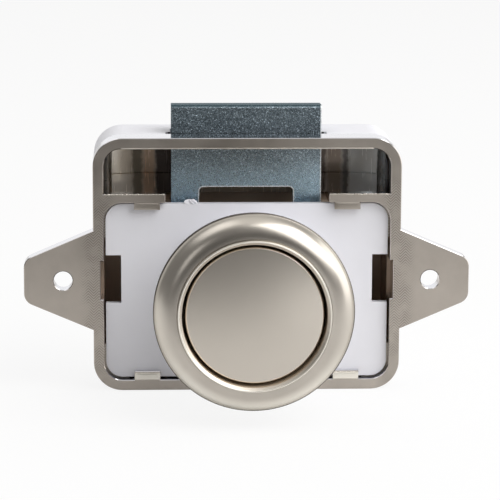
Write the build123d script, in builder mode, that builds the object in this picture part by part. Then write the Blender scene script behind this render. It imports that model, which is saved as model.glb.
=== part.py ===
"""Push button cabinet lock: a sprung button that lifts a flat steel latch.

The lock sits on the inside of a door. Its round ring covers the hole on the
outside, and the button slides through that hole. Millimetres, +Z up, +Y into
the cabinet and -Y out of the door. The origin lies on the button's axis, on
the frame face that meets the door. The model is the locked state: the button
is held in and the latch stands up above the frame.
"""
from build123d import *
from math import atan2, cos, degrees, pi, sin, sqrt
import os

os.makedirs("parts", exist_ok=True)

# Door and the two wood screws
door_thickness = 26.5
door_hole_radius = 13.0
screw_spacing = 66.0
screw_hole_radius = 1.7

# Mounting frame
frame_width = 55.2
frame_height = 46.0
axis_below_middle = 2.75
frame_depth = 5.4
frame_corner_radius = 5.2
rim_wall = 1.9
ear_beyond_hole = 7.0
ear_root_height = 18.2
ear_tip_height = 7.6
ear_tip_radius = 2.2
ear_thickness = 3.0
shelf_drop = 10.1
shelf_thickness = 1.55
shelf_depth = 2.8
shelf_gap_clearance = 1.15
tab_width = 4.65
tab_offset = 17.95
tab_reach = 1.25
side_recess_depth = 0.6
side_recess_height = 7.0
boss_radius = 3.0
boss_inset = 3.4
edge_break = 0.25
front_edge_chamfer = 0.12

# Cover plate
plate_recess = 1.2
plate_thickness = 1.5
plate_gap = 0.35
side_window_width = 2.75
side_window_height = 8.8
collar_wall = 0.8
collar_reach = 8.2
post_socket_depth = 0.8

# Rear case
case_wall = 1.9
case_back_wall = 1.8
case_back_round = 1.0
latch_slot_side_gap = 0.15
latch_slot_end_gap = 0.3
slot_notch_width = 0.85
slot_notch_depth = 2.5
guide_rib_wall = 1.2
guide_rib_gap = 0.27
guide_rib_front = 8.0
liner_rib_wall = 1.2
liner_rib_places_share = (0.27, 0.78)

# Bent steel liner behind the frame's window
liner_sheet = 0.5
liner_side_gap = 0.1
liner_draft = 0.5
liner_depth = 9.0
liner_drop = 0.5
liner_seam_height = 3.7
liner_joggle = 0.25
liner_bend_radius = 0.7

# Latch
latch_width = 27.06
latch_sheet = 1.6
latch_rise = 5.1
latch_sink = 0.15
latch_depth = 5.9
latch_gap = 0.3
latch_bend_radius = 0.7
latch_edge_chamfer = 0.12
latch_hem_length = 6.4
latch_flange_depth = 4.3
latch_leg_drop = 1.6
cutout_width = 17.0
cutout_below_shelf_top = 0.4
cutout_radius = 0.8
flange_margin = 1.05
flange_back_gap = 0.4
flange_foot = 1.5
flange_shoulder = 3.4

# Strokes of the button
stroke = 7.5
overtravel = 1.2
end_gap = 0.3

# Carriage
carriage_thickness = 4.2
carriage_top = 6.0
carriage_bottom = -11.6
carriage_corner_radius = 1.2
carriage_side_gap = 0.43
carriage_pocket_width = 4.4
carriage_pocket_height = 2.6
carriage_pocket_depth = 1.4
carriage_pocket_radius = 0.6
cam_pin_radius = 1.0
cam_pin_wall = 1.0
cam_pin_drop = 7.4
cam_pin_overhang = 0.97
slot_gap = 0.05

# Guide posts
post_radius = 1.5
post_offset = 8.0
post_height = 3.0
running_gap = 0.05
press_gap = 0.02

# Stem and its fixings
stem_radius = 4.5
stem_bore_radius = 3.3
stem_tail_radius = 3.95
stem_tail_short = 0.2
stem_head_radius = 3.5
stem_head_length = 7.5
stem_nut_flats = 10.0
stem_nut_height = 1.7
nut_pocket_gap = 0.13
nut_pocket_depth = 1.9
cap_nut_flats = 9.0
cap_nut_height = 2.0

# Ejector spring and the pin inside it
spring_bore_end = 6.0
spring_wire_radius = 0.3
spring_radius = 2.55
spring_turns = 8
spring_pin_radius = 1.8
spring_seat_radius = 3.0
spring_seat_height = 0.5
spring_pin_length = 16.5
turn_points = 48

# Heart-shaped catch track and its wire
wire_radius = 0.5
wire_bend_radius = 1.0
wire_plane_inset = 0.9
wire_pivot_drop = 2.5
wire_head_radius = 0.9
wire_head_height = 0.45
wire_slot_width = 4.8
wire_slot_inset = 2.0
wire_slot_height = 2.7
wire_tip_gap = 0.2
track_block_width = 14.0
track_block_top_gap = 1.3
track_block_end_gap = 0.1
track_depth = 1.5
lane_gap = 0.15
island_half = 0.95
island_nose_gap = 1.3
island_notch_gap = 0.1
island_lobe_rise = 0.35
island_lobe_share = 0.75
divider_half = 0.6
divider_height = 0.85
track_round = 0.25
track_peg_radius = 1.5
track_peg_length = 1.5

# Threaded sleeve, its lock nut and bushes
sleeve_radius = 11.2
sleeve_wall = 1.5
thread_gap = 0.05
sleeve_tip_gap = 0.15
locknut_rim = 1.5
locknut_height = 2.5
locknut_notch_width = 2.4
locknut_notch_depth = 0.7
locknut_notches = 4
bush_length = 4.0
bush_inset = 0.2
bush_relief_radius = 1.1
bush_reliefs = 6
bush_front_inset = 2.1

# Buffer ring
buffer_wall = 1.5
buffer_height = 1.1
buffer_proud = 0.5
buffer_gap = 0.4

# Rosette ring
ring_radius = 17.1
ring_height = 4.6
ring_edge_height = 0.95
ring_edge_chamfer = 0.25
ring_dome_height = 3.85
lip_slope_width = 0.4
lip_slope_height = 0.95
lip_round = 0.14
lip_flank_width = 0.16
valley_width = 0.12
spigot_gap = 0.2
spigot_length = 9.3
ring_thread_length = 3.4

# Button cap
cap_radius = 11.7
cap_gap = 0.6
cap_sink = 1.2
cap_dome = 0.25
cap_edge_radius = 0.5
cap_wall = 1.4
cap_face_wall = 1.6
cap_length = 7.7
cap_boss_radius = 5.2
cap_boss_short = 0.2
cap_bore_gap = 0.3

# Case screws
case_screw_radius = 1.2
case_screw_hole_gap = 0.15
case_screw_head_radius = 2.1
case_screw_head_height = 1.4
case_screw_head_gap = 0.2
case_screw_sink = 2.0
case_screw_tip_gap = 0.4
cross_width = 0.6
cross_length = 2.4
cross_depth = 0.7

# Every cut runs past the face it leaves by this much
overrun = 1.0

# Frame edges, measured from the button's axis
frame_middle = axis_below_middle
frame_top = frame_middle + frame_height / 2
frame_bottom = frame_middle - frame_height / 2
inner_width = frame_width - rim_wall * 2
inner_height = frame_height - rim_wall * 2
inner_radius = frame_corner_radius - rim_wall
inner_top = frame_top - rim_wall
inner_bottom = frame_bottom + rim_wall
shelf_top = frame_top - shelf_drop
shelf_bottom = shelf_top - shelf_thickness
lower_height = shelf_bottom - inner_bottom
lower_middle = (shelf_bottom + inner_bottom) / 2
ear_span = screw_spacing + ear_beyond_hole * 2

# The depths of the pieces, one behind the other
plate_front = plate_recess
plate_back = plate_recess + plate_thickness
buffer_back = plate_back + buffer_proud
carriage_front = buffer_back + end_gap + stroke
carriage_back = carriage_front + carriage_thickness
case_floor = carriage_back + overtravel + end_gap
case_back = case_floor + case_back_wall
latch_front = frame_depth + latch_gap
latch_back = latch_front + latch_depth

# The case is as wide and tall as the frame
case_inner_width = frame_width - case_wall * 2
case_inner_height = frame_height - case_wall * 2
case_inner_radius = frame_corner_radius - case_wall
case_inner_top = frame_top - case_wall
case_inner_bottom = frame_bottom + case_wall

# The latch drops until its top lies just below the frame's top
latch_top = frame_top + latch_rise
latch_travel = latch_rise + latch_sink
lift_per_stroke = latch_travel / stroke
latch_overtravel = overtravel * lift_per_stroke
flange_inner = latch_width / 2 - latch_sheet

# The cross pin moves with the carriage, and the latch's slots ride on it
pin_depth = carriage_back - cam_pin_wall - cam_pin_radius
pin_height = -cam_pin_drop
pin_out = pin_depth - stroke
pin_in = pin_depth + overtravel
slot_radius = cam_pin_radius + slot_gap

# The four screws that join the case to the frame
boss_x = inner_width / 2 - boss_inset
liner_bottom = shelf_bottom - liner_drop
boss_heights = (
    liner_bottom - edge_break - boss_radius,
    inner_bottom + boss_radius,
)

# Sleeve, ring and button, in front of the frame
sleeve_bore = sleeve_radius - sleeve_wall
ring_back = -door_thickness
ring_lip = -(door_thickness + ring_height)
spigot_end = ring_back + spigot_length
spigot_radius = door_hole_radius - spigot_gap
thread_shoulder = spigot_end - ring_thread_length
sleeve_end = thread_shoulder + sleeve_tip_gap
bore_radius = cap_radius + cap_gap
cap_face = ring_lip + cap_sink
cap_skirt_end = cap_face + cap_length
cap_boss_end = cap_skirt_end + cap_boss_short
stem_shoulder = cap_boss_end + cap_nut_height

# The catch wire hangs from the carriage into the track
wire_depth = carriage_back - wire_plane_inset
wire_pivot = pin_height - wire_pivot_drop
block_top = carriage_bottom - track_block_top_gap
track_floor = block_top - track_depth
wire_tip = track_floor + wire_tip_gap


def at_depth(depth):
    """The plane at this depth behind the door face, drawn as seen from the front."""
    return Plane.XZ.offset(-depth)


def save(piece, name):
    """Label a finished piece and write it to its own file."""
    piece.part.label = name
    export_step(piece.part, "parts/" + name + ".step")
    print(name, "volume", round(piece.part.volume, 2))


def boss_outline(room):
    """One side's screw bosses, joined to the wall that carries them."""
    wall_x = inner_width / 2 + room
    for height in boss_heights:
        with Locations((boss_x, height)):
            Circle(boss_radius)
        with Locations(((boss_x + wall_x) / 2, height)):
            Rectangle(wall_x - boss_x, boss_radius * 2)


def screw_places():
    """The four case screws, seen from the front."""
    return [(side * boss_x, height) for side in (-1, 1) for height in boss_heights]


# Mounting frame: rim, ears, two shelves, four tabs and four screw bosses
with BuildPart() as mounting_frame:
    with BuildSketch(at_depth(frame_depth)):
        with Locations((0, frame_middle)):
            RectangleRounded(frame_width, frame_height, frame_corner_radius)
            RectangleRounded(inner_width, inner_height, inner_radius, mode=Mode.SUBTRACT)
    extrude(amount=frame_depth)
    with BuildSketch(at_depth(ear_thickness)) as ears:
        with BuildLine():
            Polyline(
                (frame_width / 2 - rim_wall / 2, ear_root_height / 2),
                (frame_width / 2, ear_root_height / 2),
                (ear_span / 2, ear_tip_height / 2),
                (ear_span / 2, -ear_tip_height / 2),
                (frame_width / 2, -ear_root_height / 2),
                (frame_width / 2 - rim_wall / 2, -ear_root_height / 2),
                close=True,
            )
        make_face()
        fillet(ears.vertices().group_by(Axis.X)[-1], radius=ear_tip_radius)
        mirror(about=Plane.YZ)
        with GridLocations(screw_spacing, 0, 2, 1):
            Circle(screw_hole_radius, mode=Mode.SUBTRACT)
    extrude(amount=ear_thickness)
    with BuildSketch(at_depth(shelf_depth)):
        shelf_end = latch_width / 2 + shelf_gap_clearance
        shelf_root = inner_width / 2 + rim_wall / 2
        with Locations(((shelf_end + shelf_root) / 2, shelf_top)):
            Rectangle(
                shelf_root - shelf_end,
                shelf_thickness + inner_radius,
                align=(Align.CENTER, Align.MAX),
            )
        mirror(about=Plane.YZ)
        with Locations((0, lower_middle)):
            RectangleRounded(inner_width, lower_height, inner_radius, mode=Mode.SUBTRACT)
    extrude(amount=shelf_depth)
    with BuildSketch(at_depth(plate_front)):
        tab_root = rim_wall / 2
        with Locations((tab_offset, shelf_bottom - tab_reach)):
            Rectangle(tab_width, tab_reach + shelf_thickness, align=(Align.CENTER, Align.MIN))
        with Locations((tab_offset, inner_bottom - tab_root)):
            Rectangle(
                tab_width,
                tab_root + plate_gap + tab_reach,
                align=(Align.CENTER, Align.MIN),
            )
        mirror(about=Plane.YZ)
    extrude(amount=plate_front)
    with BuildSketch(at_depth(frame_depth)):
        boss_outline(rim_wall / 2)
        mirror(about=Plane.YZ)
    extrude(amount=frame_depth - plate_back)
    with BuildSketch(at_depth(frame_depth)):
        with Locations(*screw_places()):
            Circle(case_screw_radius + thread_gap)
    extrude(amount=frame_depth - plate_back, mode=Mode.SUBTRACT)
    with BuildSketch(at_depth(frame_depth)):
        with Locations((inner_width / 2, 0)):
            Rectangle(side_recess_depth * 2, side_recess_height)
        mirror(about=Plane.YZ)
    extrude(amount=frame_depth, mode=Mode.SUBTRACT)
    chamfer(mounting_frame.faces().sort_by(Axis.Y)[0].edges(), length=front_edge_chamfer)
save(mounting_frame, "mounting_frame")

# Cover plate: moulded plate with the sleeve's collar and two side notches
plate_width = inner_width - plate_gap * 2
plate_bottom = inner_bottom + plate_gap
plate_top = shelf_bottom - plate_gap
plate_middle = (plate_top + plate_bottom) / 2
with BuildPart() as cover_plate:
    with BuildSketch(at_depth(plate_back)):
        with Locations((0, plate_middle)):
            RectangleRounded(plate_width, plate_top - plate_bottom, inner_radius - plate_gap)
        with Locations((plate_width / 2, 0)):
            Rectangle(side_window_width * 2, side_window_height, mode=Mode.SUBTRACT)
        with Locations((-plate_width / 2, 0)):
            Rectangle(side_window_width * 2, side_window_height, mode=Mode.SUBTRACT)
    extrude(amount=plate_thickness)
    with BuildSketch(at_depth(plate_back)):
        Circle(sleeve_radius + thread_gap + collar_wall)
    extrude(amount=plate_thickness + collar_reach)
    with BuildSketch(at_depth(plate_front)):
        Circle(sleeve_radius + thread_gap)
    extrude(amount=collar_reach + overrun, mode=Mode.SUBTRACT)
    with BuildSketch(at_depth(plate_back)):
        Circle(stem_radius + buffer_gap)
    extrude(amount=plate_thickness, mode=Mode.SUBTRACT)
    with BuildSketch(at_depth(plate_back)):
        Circle(stem_radius + buffer_gap + buffer_wall + thread_gap)
    extrude(amount=buffer_height - buffer_proud, mode=Mode.SUBTRACT)
    with BuildSketch(at_depth(plate_back)):
        with Locations((-post_offset, post_height), (post_offset, post_height)):
            Circle(post_radius + thread_gap)
    extrude(amount=post_socket_depth, mode=Mode.SUBTRACT)
save(cover_plate, "cover_plate")

# Rear case: an open tray with screw columns, latch guides and liner ribs
rib_inner = latch_width / 2 + guide_rib_gap
rib_gap_low = pin_height - cam_pin_radius * 2
rib_gap_high = pin_height + cam_pin_radius * 2
liner_back = frame_depth + liner_depth + liner_sheet
with BuildPart() as rear_case:
    with BuildSketch(at_depth(case_back)):
        with Locations((0, frame_middle)):
            RectangleRounded(frame_width, frame_height, frame_corner_radius)
    extrude(amount=case_back - frame_depth)
    fillet(rear_case.faces().sort_by(Axis.Y)[-1].edges(), radius=case_back_round)
    with BuildSketch(at_depth(case_floor)):
        with Locations((0, frame_middle)):
            RectangleRounded(case_inner_width, case_inner_height, case_inner_radius)
    extrude(amount=case_floor - frame_depth + overrun, mode=Mode.SUBTRACT)
    with BuildSketch(at_depth(case_floor)):
        boss_outline(case_wall / 2)
        mirror(about=Plane.YZ)
    extrude(amount=case_floor - frame_depth)
    with BuildSketch(at_depth(case_floor)):
        with Locations((rib_inner, case_inner_bottom)):
            Rectangle(
                guide_rib_wall,
                rib_gap_low - case_inner_bottom,
                align=(Align.MIN, Align.MIN),
            )
        with Locations((rib_inner, rib_gap_high)):
            Rectangle(
                guide_rib_wall,
                liner_bottom - liner_drop - rib_gap_high,
                align=(Align.MIN, Align.MIN),
            )
        mirror(about=Plane.YZ)
    extrude(amount=case_floor - guide_rib_front)
    with BuildSketch(at_depth(case_floor)):
        for share in liner_rib_places_share:
            with Locations((share * case_inner_width / 2, liner_bottom)):
                Rectangle(
                    liner_rib_wall,
                    case_inner_top - liner_bottom + case_wall / 2,
                    align=(Align.CENTER, Align.MIN),
                )
        mirror(about=Plane.YZ)
    extrude(amount=case_floor - liner_back)
    with BuildSketch(Plane.XY.offset(frame_top)):
        slot_width = latch_width + latch_slot_side_gap * 2
        with Locations((0, frame_depth)):
            Rectangle(
                slot_width,
                latch_back + latch_slot_end_gap - frame_depth,
                align=(Align.CENTER, Align.MIN),
            )
            Rectangle(
                slot_width + slot_notch_width * 2,
                slot_notch_depth,
                align=(Align.CENTER, Align.MIN),
            )
    extrude(amount=-(case_wall + overrun), mode=Mode.SUBTRACT)
    with BuildSketch(at_depth(case_back)):
        with Locations(*screw_places()):
            Circle(case_screw_radius + case_screw_hole_gap)
    extrude(amount=case_back, mode=Mode.SUBTRACT)
    with BuildSketch(at_depth(case_back)):
        with Locations(*screw_places()):
            Circle(case_screw_head_radius + case_screw_head_gap)
    extrude(amount=case_screw_sink, mode=Mode.SUBTRACT)
    with BuildSketch(at_depth(case_back)):
        with Locations((-post_offset, post_height), (post_offset, post_height)):
            Circle(post_radius + thread_gap)
        Circle(spring_pin_radius + thread_gap)
    extrude(amount=case_back_wall, mode=Mode.SUBTRACT)
    with BuildSketch(Plane.XY.offset(case_inner_bottom)):
        with Locations((0, (frame_depth + case_floor) / 2)):
            Circle(track_peg_radius + thread_gap)
    extrude(amount=-case_wall, mode=Mode.SUBTRACT)
save(rear_case, "rear_case")

# Steel liner: a drafted sheet tray with a joggled seam, seen through the window
liner_top = case_inner_top - liner_side_gap
liner_half_front = case_inner_width / 2 - liner_side_gap
liner_half_back = liner_half_front - liner_draft
liner_start = frame_depth + liner_side_gap
seam_height = liner_bottom + liner_seam_height


def liner_band(low, high, shift):
    """A stretch of the liner between two heights, its back wall moved by shift."""
    back = liner_back + shift
    with BuildSketch(Plane.XY.offset(low)) as band:
        with BuildLine():
            Polyline(
                (liner_half_front, liner_start),
                (liner_half_back, back),
                (-liner_half_back, back),
                (-liner_half_front, liner_start),
                (-liner_half_front + liner_sheet, liner_start),
                (-liner_half_back + liner_sheet, back - liner_sheet),
                (liner_half_back - liner_sheet, back - liner_sheet),
                (liner_half_front - liner_sheet, liner_start),
                close=True,
            )
        make_face()
        rows = band.vertices().group_by(Axis.Y)
        fillet(rows[-1], radius=liner_bend_radius + liner_sheet)
        fillet(rows[-2], radius=liner_bend_radius)
    extrude(band.sketch, amount=high - low)


with BuildPart() as steel_liner:
    liner_band(seam_height, liner_top, 0)
    liner_band(liner_bottom, seam_height, -liner_joggle)
    with BuildSketch(at_depth(case_floor)):
        with Locations((0, frame_middle)):
            RectangleRounded(
                case_inner_width - liner_side_gap * 2,
                case_inner_height - liner_side_gap * 2,
                case_inner_radius,
            )
    extrude(amount=case_floor, mode=Mode.INTERSECT)
save(steel_liner, "steel_liner")

# Latch: one bent sheet with a hemmed head, a cutout and two slotted flanges
hem_front = latch_back - latch_sheet
cutout_top = shelf_top + cutout_below_shelf_top
leg_bottom = shelf_bottom - latch_leg_drop
slot_in = (pin_in, pin_height - latch_overtravel)
slot_out = (pin_out, pin_height + latch_travel)
slot_middle = ((pin_in + pin_out) / 2, (slot_in[1] + slot_out[1]) / 2)
slot_run = sqrt((pin_in - pin_out) ** 2 + (slot_out[1] - slot_in[1]) ** 2)
slot_angle = degrees(atan2(slot_in[1] - slot_out[1], pin_in - pin_out))
flange_front = pin_out - slot_radius - flange_margin
flange_back = case_floor - flange_back_gap
flange_bottom = slot_in[1] - slot_radius - flange_foot
flange_heel = slot_out[1] - flange_shoulder
with BuildPart() as latch_bolt:
    with BuildSketch(Plane.YZ.offset(-latch_width / 2)) as head:
        with BuildLine():
            Polyline(
                (latch_front, leg_bottom),
                (latch_front, latch_top),
                (latch_back, latch_top),
                (latch_back, latch_top - latch_hem_length),
                (hem_front, latch_top - latch_hem_length),
                (hem_front, latch_top - latch_sheet),
                (latch_front + latch_sheet, latch_top - latch_sheet),
                (latch_front + latch_sheet, leg_bottom),
                close=True,
            )
        make_face()
        fillet(head.vertices().group_by(Axis.Y)[-1], radius=latch_bend_radius)
    extrude(amount=latch_width)
    with BuildSketch(at_depth(hem_front)) as cutout:
        with Locations((0, cutout_top)):
            Rectangle(
                cutout_width,
                cutout_top - leg_bottom + overrun,
                align=(Align.CENTER, Align.MAX),
            )
        fillet(cutout.vertices().group_by(Axis.Y)[-1], radius=cutout_radius)
    extrude(amount=hem_front, mode=Mode.SUBTRACT)
    with BuildSketch(Plane.YZ.offset(flange_inner)):
        with BuildLine():
            Polyline(
                (latch_front, inner_top),
                (latch_front + latch_flange_depth, inner_top),
                (latch_front + latch_flange_depth, slot_out[1] + flange_shoulder),
                (flange_back, slot_in[1] + slot_radius + flange_shoulder),
                (flange_back, flange_bottom),
                (flange_front + (flange_heel - flange_bottom) / lift_per_stroke, flange_bottom),
                (flange_front, flange_heel),
                (flange_front, slot_out[1] + flange_shoulder),
                (latch_front, slot_out[1] + flange_shoulder),
                close=True,
            )
        make_face()
    extrude(amount=latch_sheet)
    mirror(about=Plane.YZ)
    with BuildSketch(Plane.YZ.offset(-latch_width / 2 - overrun)):
        with Locations(slot_middle):
            SlotCenterToCenter(slot_run, slot_radius * 2, rotation=slot_angle)
    extrude(amount=latch_width + overrun * 2, mode=Mode.SUBTRACT)
    front = latch_bolt.faces().filter_by(GeomType.PLANE).sort_by(Axis.Y)[0]
    chamfer(front.edges().filter_by(Axis.Z), length=latch_edge_chamfer)
save(latch_bolt, "latch_bolt")

# Carriage: a cast block that slides on two posts between the latch's flanges
carriage_half = flange_inner - carriage_side_gap
nut_corner = stem_nut_flats / 2 / cos(pi / 6)
with BuildPart() as carriage:
    with BuildSketch(at_depth(carriage_back)) as block:
        with Locations((0, carriage_bottom)):
            Rectangle(
                carriage_half * 2,
                carriage_top - carriage_bottom,
                align=(Align.CENTER, Align.MIN),
            )
        fillet(block.vertices(), radius=carriage_corner_radius)
    extrude(amount=carriage_thickness)
    with BuildSketch(at_depth(carriage_back)):
        Circle(stem_tail_radius + press_gap)
        with Locations((-post_offset, post_height), (post_offset, post_height)):
            Circle(post_radius + running_gap)
        with Locations((0, wire_pivot)):
            Circle(wire_radius + running_gap)
    extrude(amount=carriage_thickness, mode=Mode.SUBTRACT)
    with BuildSketch(at_depth(carriage_back)):
        Circle(nut_corner + nut_pocket_gap)
    extrude(amount=nut_pocket_depth, mode=Mode.SUBTRACT)
    with BuildSketch(at_depth(carriage_back)):
        with Locations((0, carriage_bottom - overrun)):
            Rectangle(
                wire_slot_width,
                wire_slot_height + overrun,
                align=(Align.CENTER, Align.MIN),
            )
    extrude(amount=wire_slot_inset, mode=Mode.SUBTRACT)
    with BuildSketch(at_depth(carriage_front + carriage_pocket_depth)):
        pocket_height = (post_height - post_radius + pin_height + cam_pin_radius) / 2
        with Locations((-post_offset, pocket_height), (post_offset, pocket_height)):
            RectangleRounded(
                carriage_pocket_width,
                carriage_pocket_height,
                carriage_pocket_radius,
            )
    extrude(amount=carriage_pocket_depth, mode=Mode.SUBTRACT)
    with BuildSketch(Plane.YZ.offset(-carriage_half)):
        with Locations((pin_depth, pin_height)):
            Circle(cam_pin_radius + press_gap)
    extrude(amount=carriage_half * 2, mode=Mode.SUBTRACT)
save(carriage, "carriage")

# Cross pin: pressed through the carriage, its ends in the latch's slots
with BuildPart() as cam_pin:
    pin_half = latch_width / 2 + cam_pin_overhang
    with BuildSketch(Plane.YZ.offset(-pin_half)):
        with Locations((pin_depth, pin_height)):
            Circle(cam_pin_radius)
    extrude(amount=pin_half * 2)
    chamfer(cam_pin.edges().filter_by(GeomType.CIRCLE), length=edge_break)
save(cam_pin, "cam_pin")

# Stem: a turned tube, closed in front, with a threaded head and a short tail
stem_tail_end = carriage_back - stem_tail_short
stem_head_end = stem_shoulder - stem_head_length
with BuildPart() as stem:
    with BuildSketch(Plane.XY):
        with BuildLine():
            Polyline(
                (0, stem_head_end),
                (stem_head_radius - edge_break, stem_head_end),
                (stem_head_radius, stem_head_end + edge_break),
                (stem_head_radius, stem_shoulder),
                (stem_radius, stem_shoulder),
                (stem_radius, carriage_front),
                (stem_tail_radius, carriage_front),
                (stem_tail_radius, stem_tail_end),
                (stem_bore_radius, stem_tail_end),
                (stem_bore_radius, -spring_bore_end),
                (0, -spring_bore_end),
                close=True,
            )
        make_face()
    revolve(axis=Axis.Y)
save(stem, "stem")


def hex_nut(depth, height, flats, bore):
    """A hexagon nut whose back face lies at this depth."""
    with BuildSketch(at_depth(depth)) as outline:
        RegularPolygon(flats / 2, 6, major_radius=False)
        Circle(bore, mode=Mode.SUBTRACT)
    extrude(outline.sketch, amount=height)


# Stem nut: holds the carriage on the stem's tail
with BuildPart() as stem_nut:
    hex_nut(
        carriage_back - nut_pocket_depth + stem_nut_height,
        stem_nut_height,
        stem_nut_flats,
        stem_tail_radius + press_gap,
    )
save(stem_nut, "stem_nut")

# Cap nut: locks the button on the stem's head
with BuildPart() as cap_nut:
    hex_nut(stem_shoulder, cap_nut_height, cap_nut_flats, stem_head_radius + thread_gap)
save(cap_nut, "cap_nut")

# Button cap: a turned cup with a slightly domed face and a threaded boss
cap_flat_edge = cap_radius - cap_edge_radius
cap_bore_end = stem_head_end - cap_bore_gap
with BuildPart() as button_cap:
    with BuildSketch(Plane.XY):
        with BuildLine():
            TangentArc((0, cap_face - cap_dome), (cap_flat_edge, cap_face), tangent=(1, 0))
            TangentArc(
                (cap_flat_edge, cap_face),
                (cap_radius, cap_face + cap_edge_radius),
                tangent=(1, 0),
            )
            Polyline(
                (cap_radius, cap_face + cap_edge_radius),
                (cap_radius, cap_skirt_end),
                (cap_radius - cap_wall, cap_skirt_end),
                (cap_radius - cap_wall, cap_face + cap_face_wall),
                (cap_boss_radius, cap_face + cap_face_wall),
                (cap_boss_radius, cap_boss_end),
                (stem_head_radius + thread_gap, cap_boss_end),
                (stem_head_radius + thread_gap, cap_bore_end),
                (0, cap_bore_end),
                (0, cap_face - cap_dome),
            )
        make_face()
    revolve(axis=Axis.Y)
save(button_cap, "button_cap")

# Rosette ring: domed flange, raised lip and a spigot that enters the door
lip_inner = bore_radius + lip_slope_width
lip_outer = lip_inner + lip_round * 2
valley_radius = lip_outer + lip_flank_width + valley_width
dome_edge = ring_back - ring_edge_height
dome_start = ring_back - ring_dome_height
with BuildPart() as rosette_ring:
    with BuildSketch(Plane.XY):
        with BuildLine():
            Polyline(
                (ring_radius, dome_edge),
                (ring_radius, ring_back - ring_edge_chamfer),
                (ring_radius - ring_edge_chamfer, ring_back),
                (spigot_radius, ring_back),
                (spigot_radius, spigot_end),
                (sleeve_radius + thread_gap, spigot_end),
                (sleeve_radius + thread_gap, thread_shoulder),
                (bore_radius, thread_shoulder),
                (bore_radius, ring_lip + lip_slope_height),
                (lip_inner, ring_lip + lip_round),
            )
            ThreePointArc(
                (lip_inner, ring_lip + lip_round),
                (lip_inner + lip_round, ring_lip),
                (lip_outer, ring_lip + lip_round),
            )
            Polyline(
                (lip_outer, ring_lip + lip_round),
                (lip_outer + lip_flank_width, dome_start),
                (valley_radius, dome_start),
            )
            TangentArc((valley_radius, dome_start), (ring_radius, dome_edge), tangent=(1, 0))
        make_face()
    revolve(axis=Axis.Y)
save(rosette_ring, "rosette_ring")

# Threaded sleeve: screwed into the plate's collar, and the ring onto it
with BuildPart() as threaded_sleeve:
    with BuildSketch(at_depth(plate_front)):
        Circle(sleeve_radius)
        Circle(sleeve_bore, mode=Mode.SUBTRACT)
    extrude(amount=plate_front - sleeve_end)
    rims = threaded_sleeve.edges().filter_by(GeomType.CIRCLE).sort_by(SortBy.RADIUS)
    chamfer(rims[-2:], length=edge_break)
save(threaded_sleeve, "threaded_sleeve")

# Sleeve lock nut: a round notched nut against the collar's end
collar_end = plate_front - collar_reach
with BuildPart() as sleeve_locknut:
    with BuildSketch(at_depth(collar_end)):
        Circle(sleeve_radius + locknut_rim)
        Circle(sleeve_radius + thread_gap, mode=Mode.SUBTRACT)
        with PolarLocations(sleeve_radius + locknut_rim, locknut_notches):
            Rectangle(locknut_notch_depth * 2, locknut_notch_width, mode=Mode.SUBTRACT)
    extrude(amount=locknut_height)
save(sleeve_locknut, "sleeve_locknut")

# Stem bushes: two plain bearings pressed into the sleeve
with BuildPart() as stem_bushes:
    for bush_back in (plate_front - bush_inset, sleeve_end + bush_front_inset + bush_length):
        with BuildSketch(at_depth(bush_back)):
            Circle(sleeve_bore - press_gap)
            Circle(stem_radius + running_gap, mode=Mode.SUBTRACT)
            with PolarLocations((sleeve_bore + stem_radius) / 2, bush_reliefs):
                Circle(bush_relief_radius, mode=Mode.SUBTRACT)
        extrude(amount=bush_length)
save(stem_bushes, "stem_bushes")

# Buffer ring: the soft stop behind the plate
with BuildPart() as buffer_ring:
    with BuildSketch(at_depth(buffer_back)):
        Circle(stem_radius + buffer_gap + buffer_wall)
        Circle(stem_radius + buffer_gap, mode=Mode.SUBTRACT)
    extrude(amount=buffer_height)
save(buffer_ring, "buffer_ring")

# Guide posts: two straight pins from the plate's sockets to the case's back
with BuildPart() as guide_posts:
    with BuildSketch(at_depth(case_back)):
        with Locations((-post_offset, post_height), (post_offset, post_height)):
            Circle(post_radius)
    extrude(amount=case_back - plate_back + post_socket_depth)
    chamfer(guide_posts.edges().filter_by(GeomType.CIRCLE), length=edge_break)
save(guide_posts, "guide_posts")

# Spring pin: a flanged pin through the case's back that guides the spring
spring_seat = case_floor - spring_seat_height
with BuildPart() as spring_pin:
    with BuildSketch(at_depth(case_back)):
        Circle(spring_pin_radius)
    extrude(amount=case_back - case_floor + spring_pin_length)
    with BuildSketch(at_depth(case_floor)):
        Circle(spring_seat_radius)
    extrude(amount=spring_seat_height)
    chamfer(spring_pin.edges().sort_by(Axis.Y)[0], length=edge_break)
save(spring_pin, "spring_pin")

# Ejector spring: one round wire wound between the stem's bore and the seat
spring_start = -spring_bore_end + spring_wire_radius
spring_pitch = (spring_seat - spring_wire_radius - spring_start) / spring_turns


def coil_point(turn):
    """The wire's centre after this many turns."""
    angle = 2 * pi * turn
    return Vector(
        spring_radius * cos(angle),
        spring_start + spring_pitch * turn,
        spring_radius * sin(angle),
    )


def coil_direction(turn):
    """The wire's direction after this many turns."""
    angle = 2 * pi * turn
    around = 2 * pi * spring_radius
    return Vector(-around * sin(angle), spring_pitch, around * cos(angle)).normalized()


def biarc_joint(start, start_way, end, end_way):
    """Where two arcs meet that leave start and reach end in these directions."""
    chord = end - start
    both = start_way + end_way
    square = 2 * (1 - start_way.dot(end_way))
    middle = 2 * chord.dot(both)
    reach = (sqrt(middle**2 + 4 * square * chord.dot(chord)) - middle) / (2 * square)
    first = start + start_way * reach
    second = end - end_way * reach
    return (first + second) / 2, (second - first).normalized()


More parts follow.
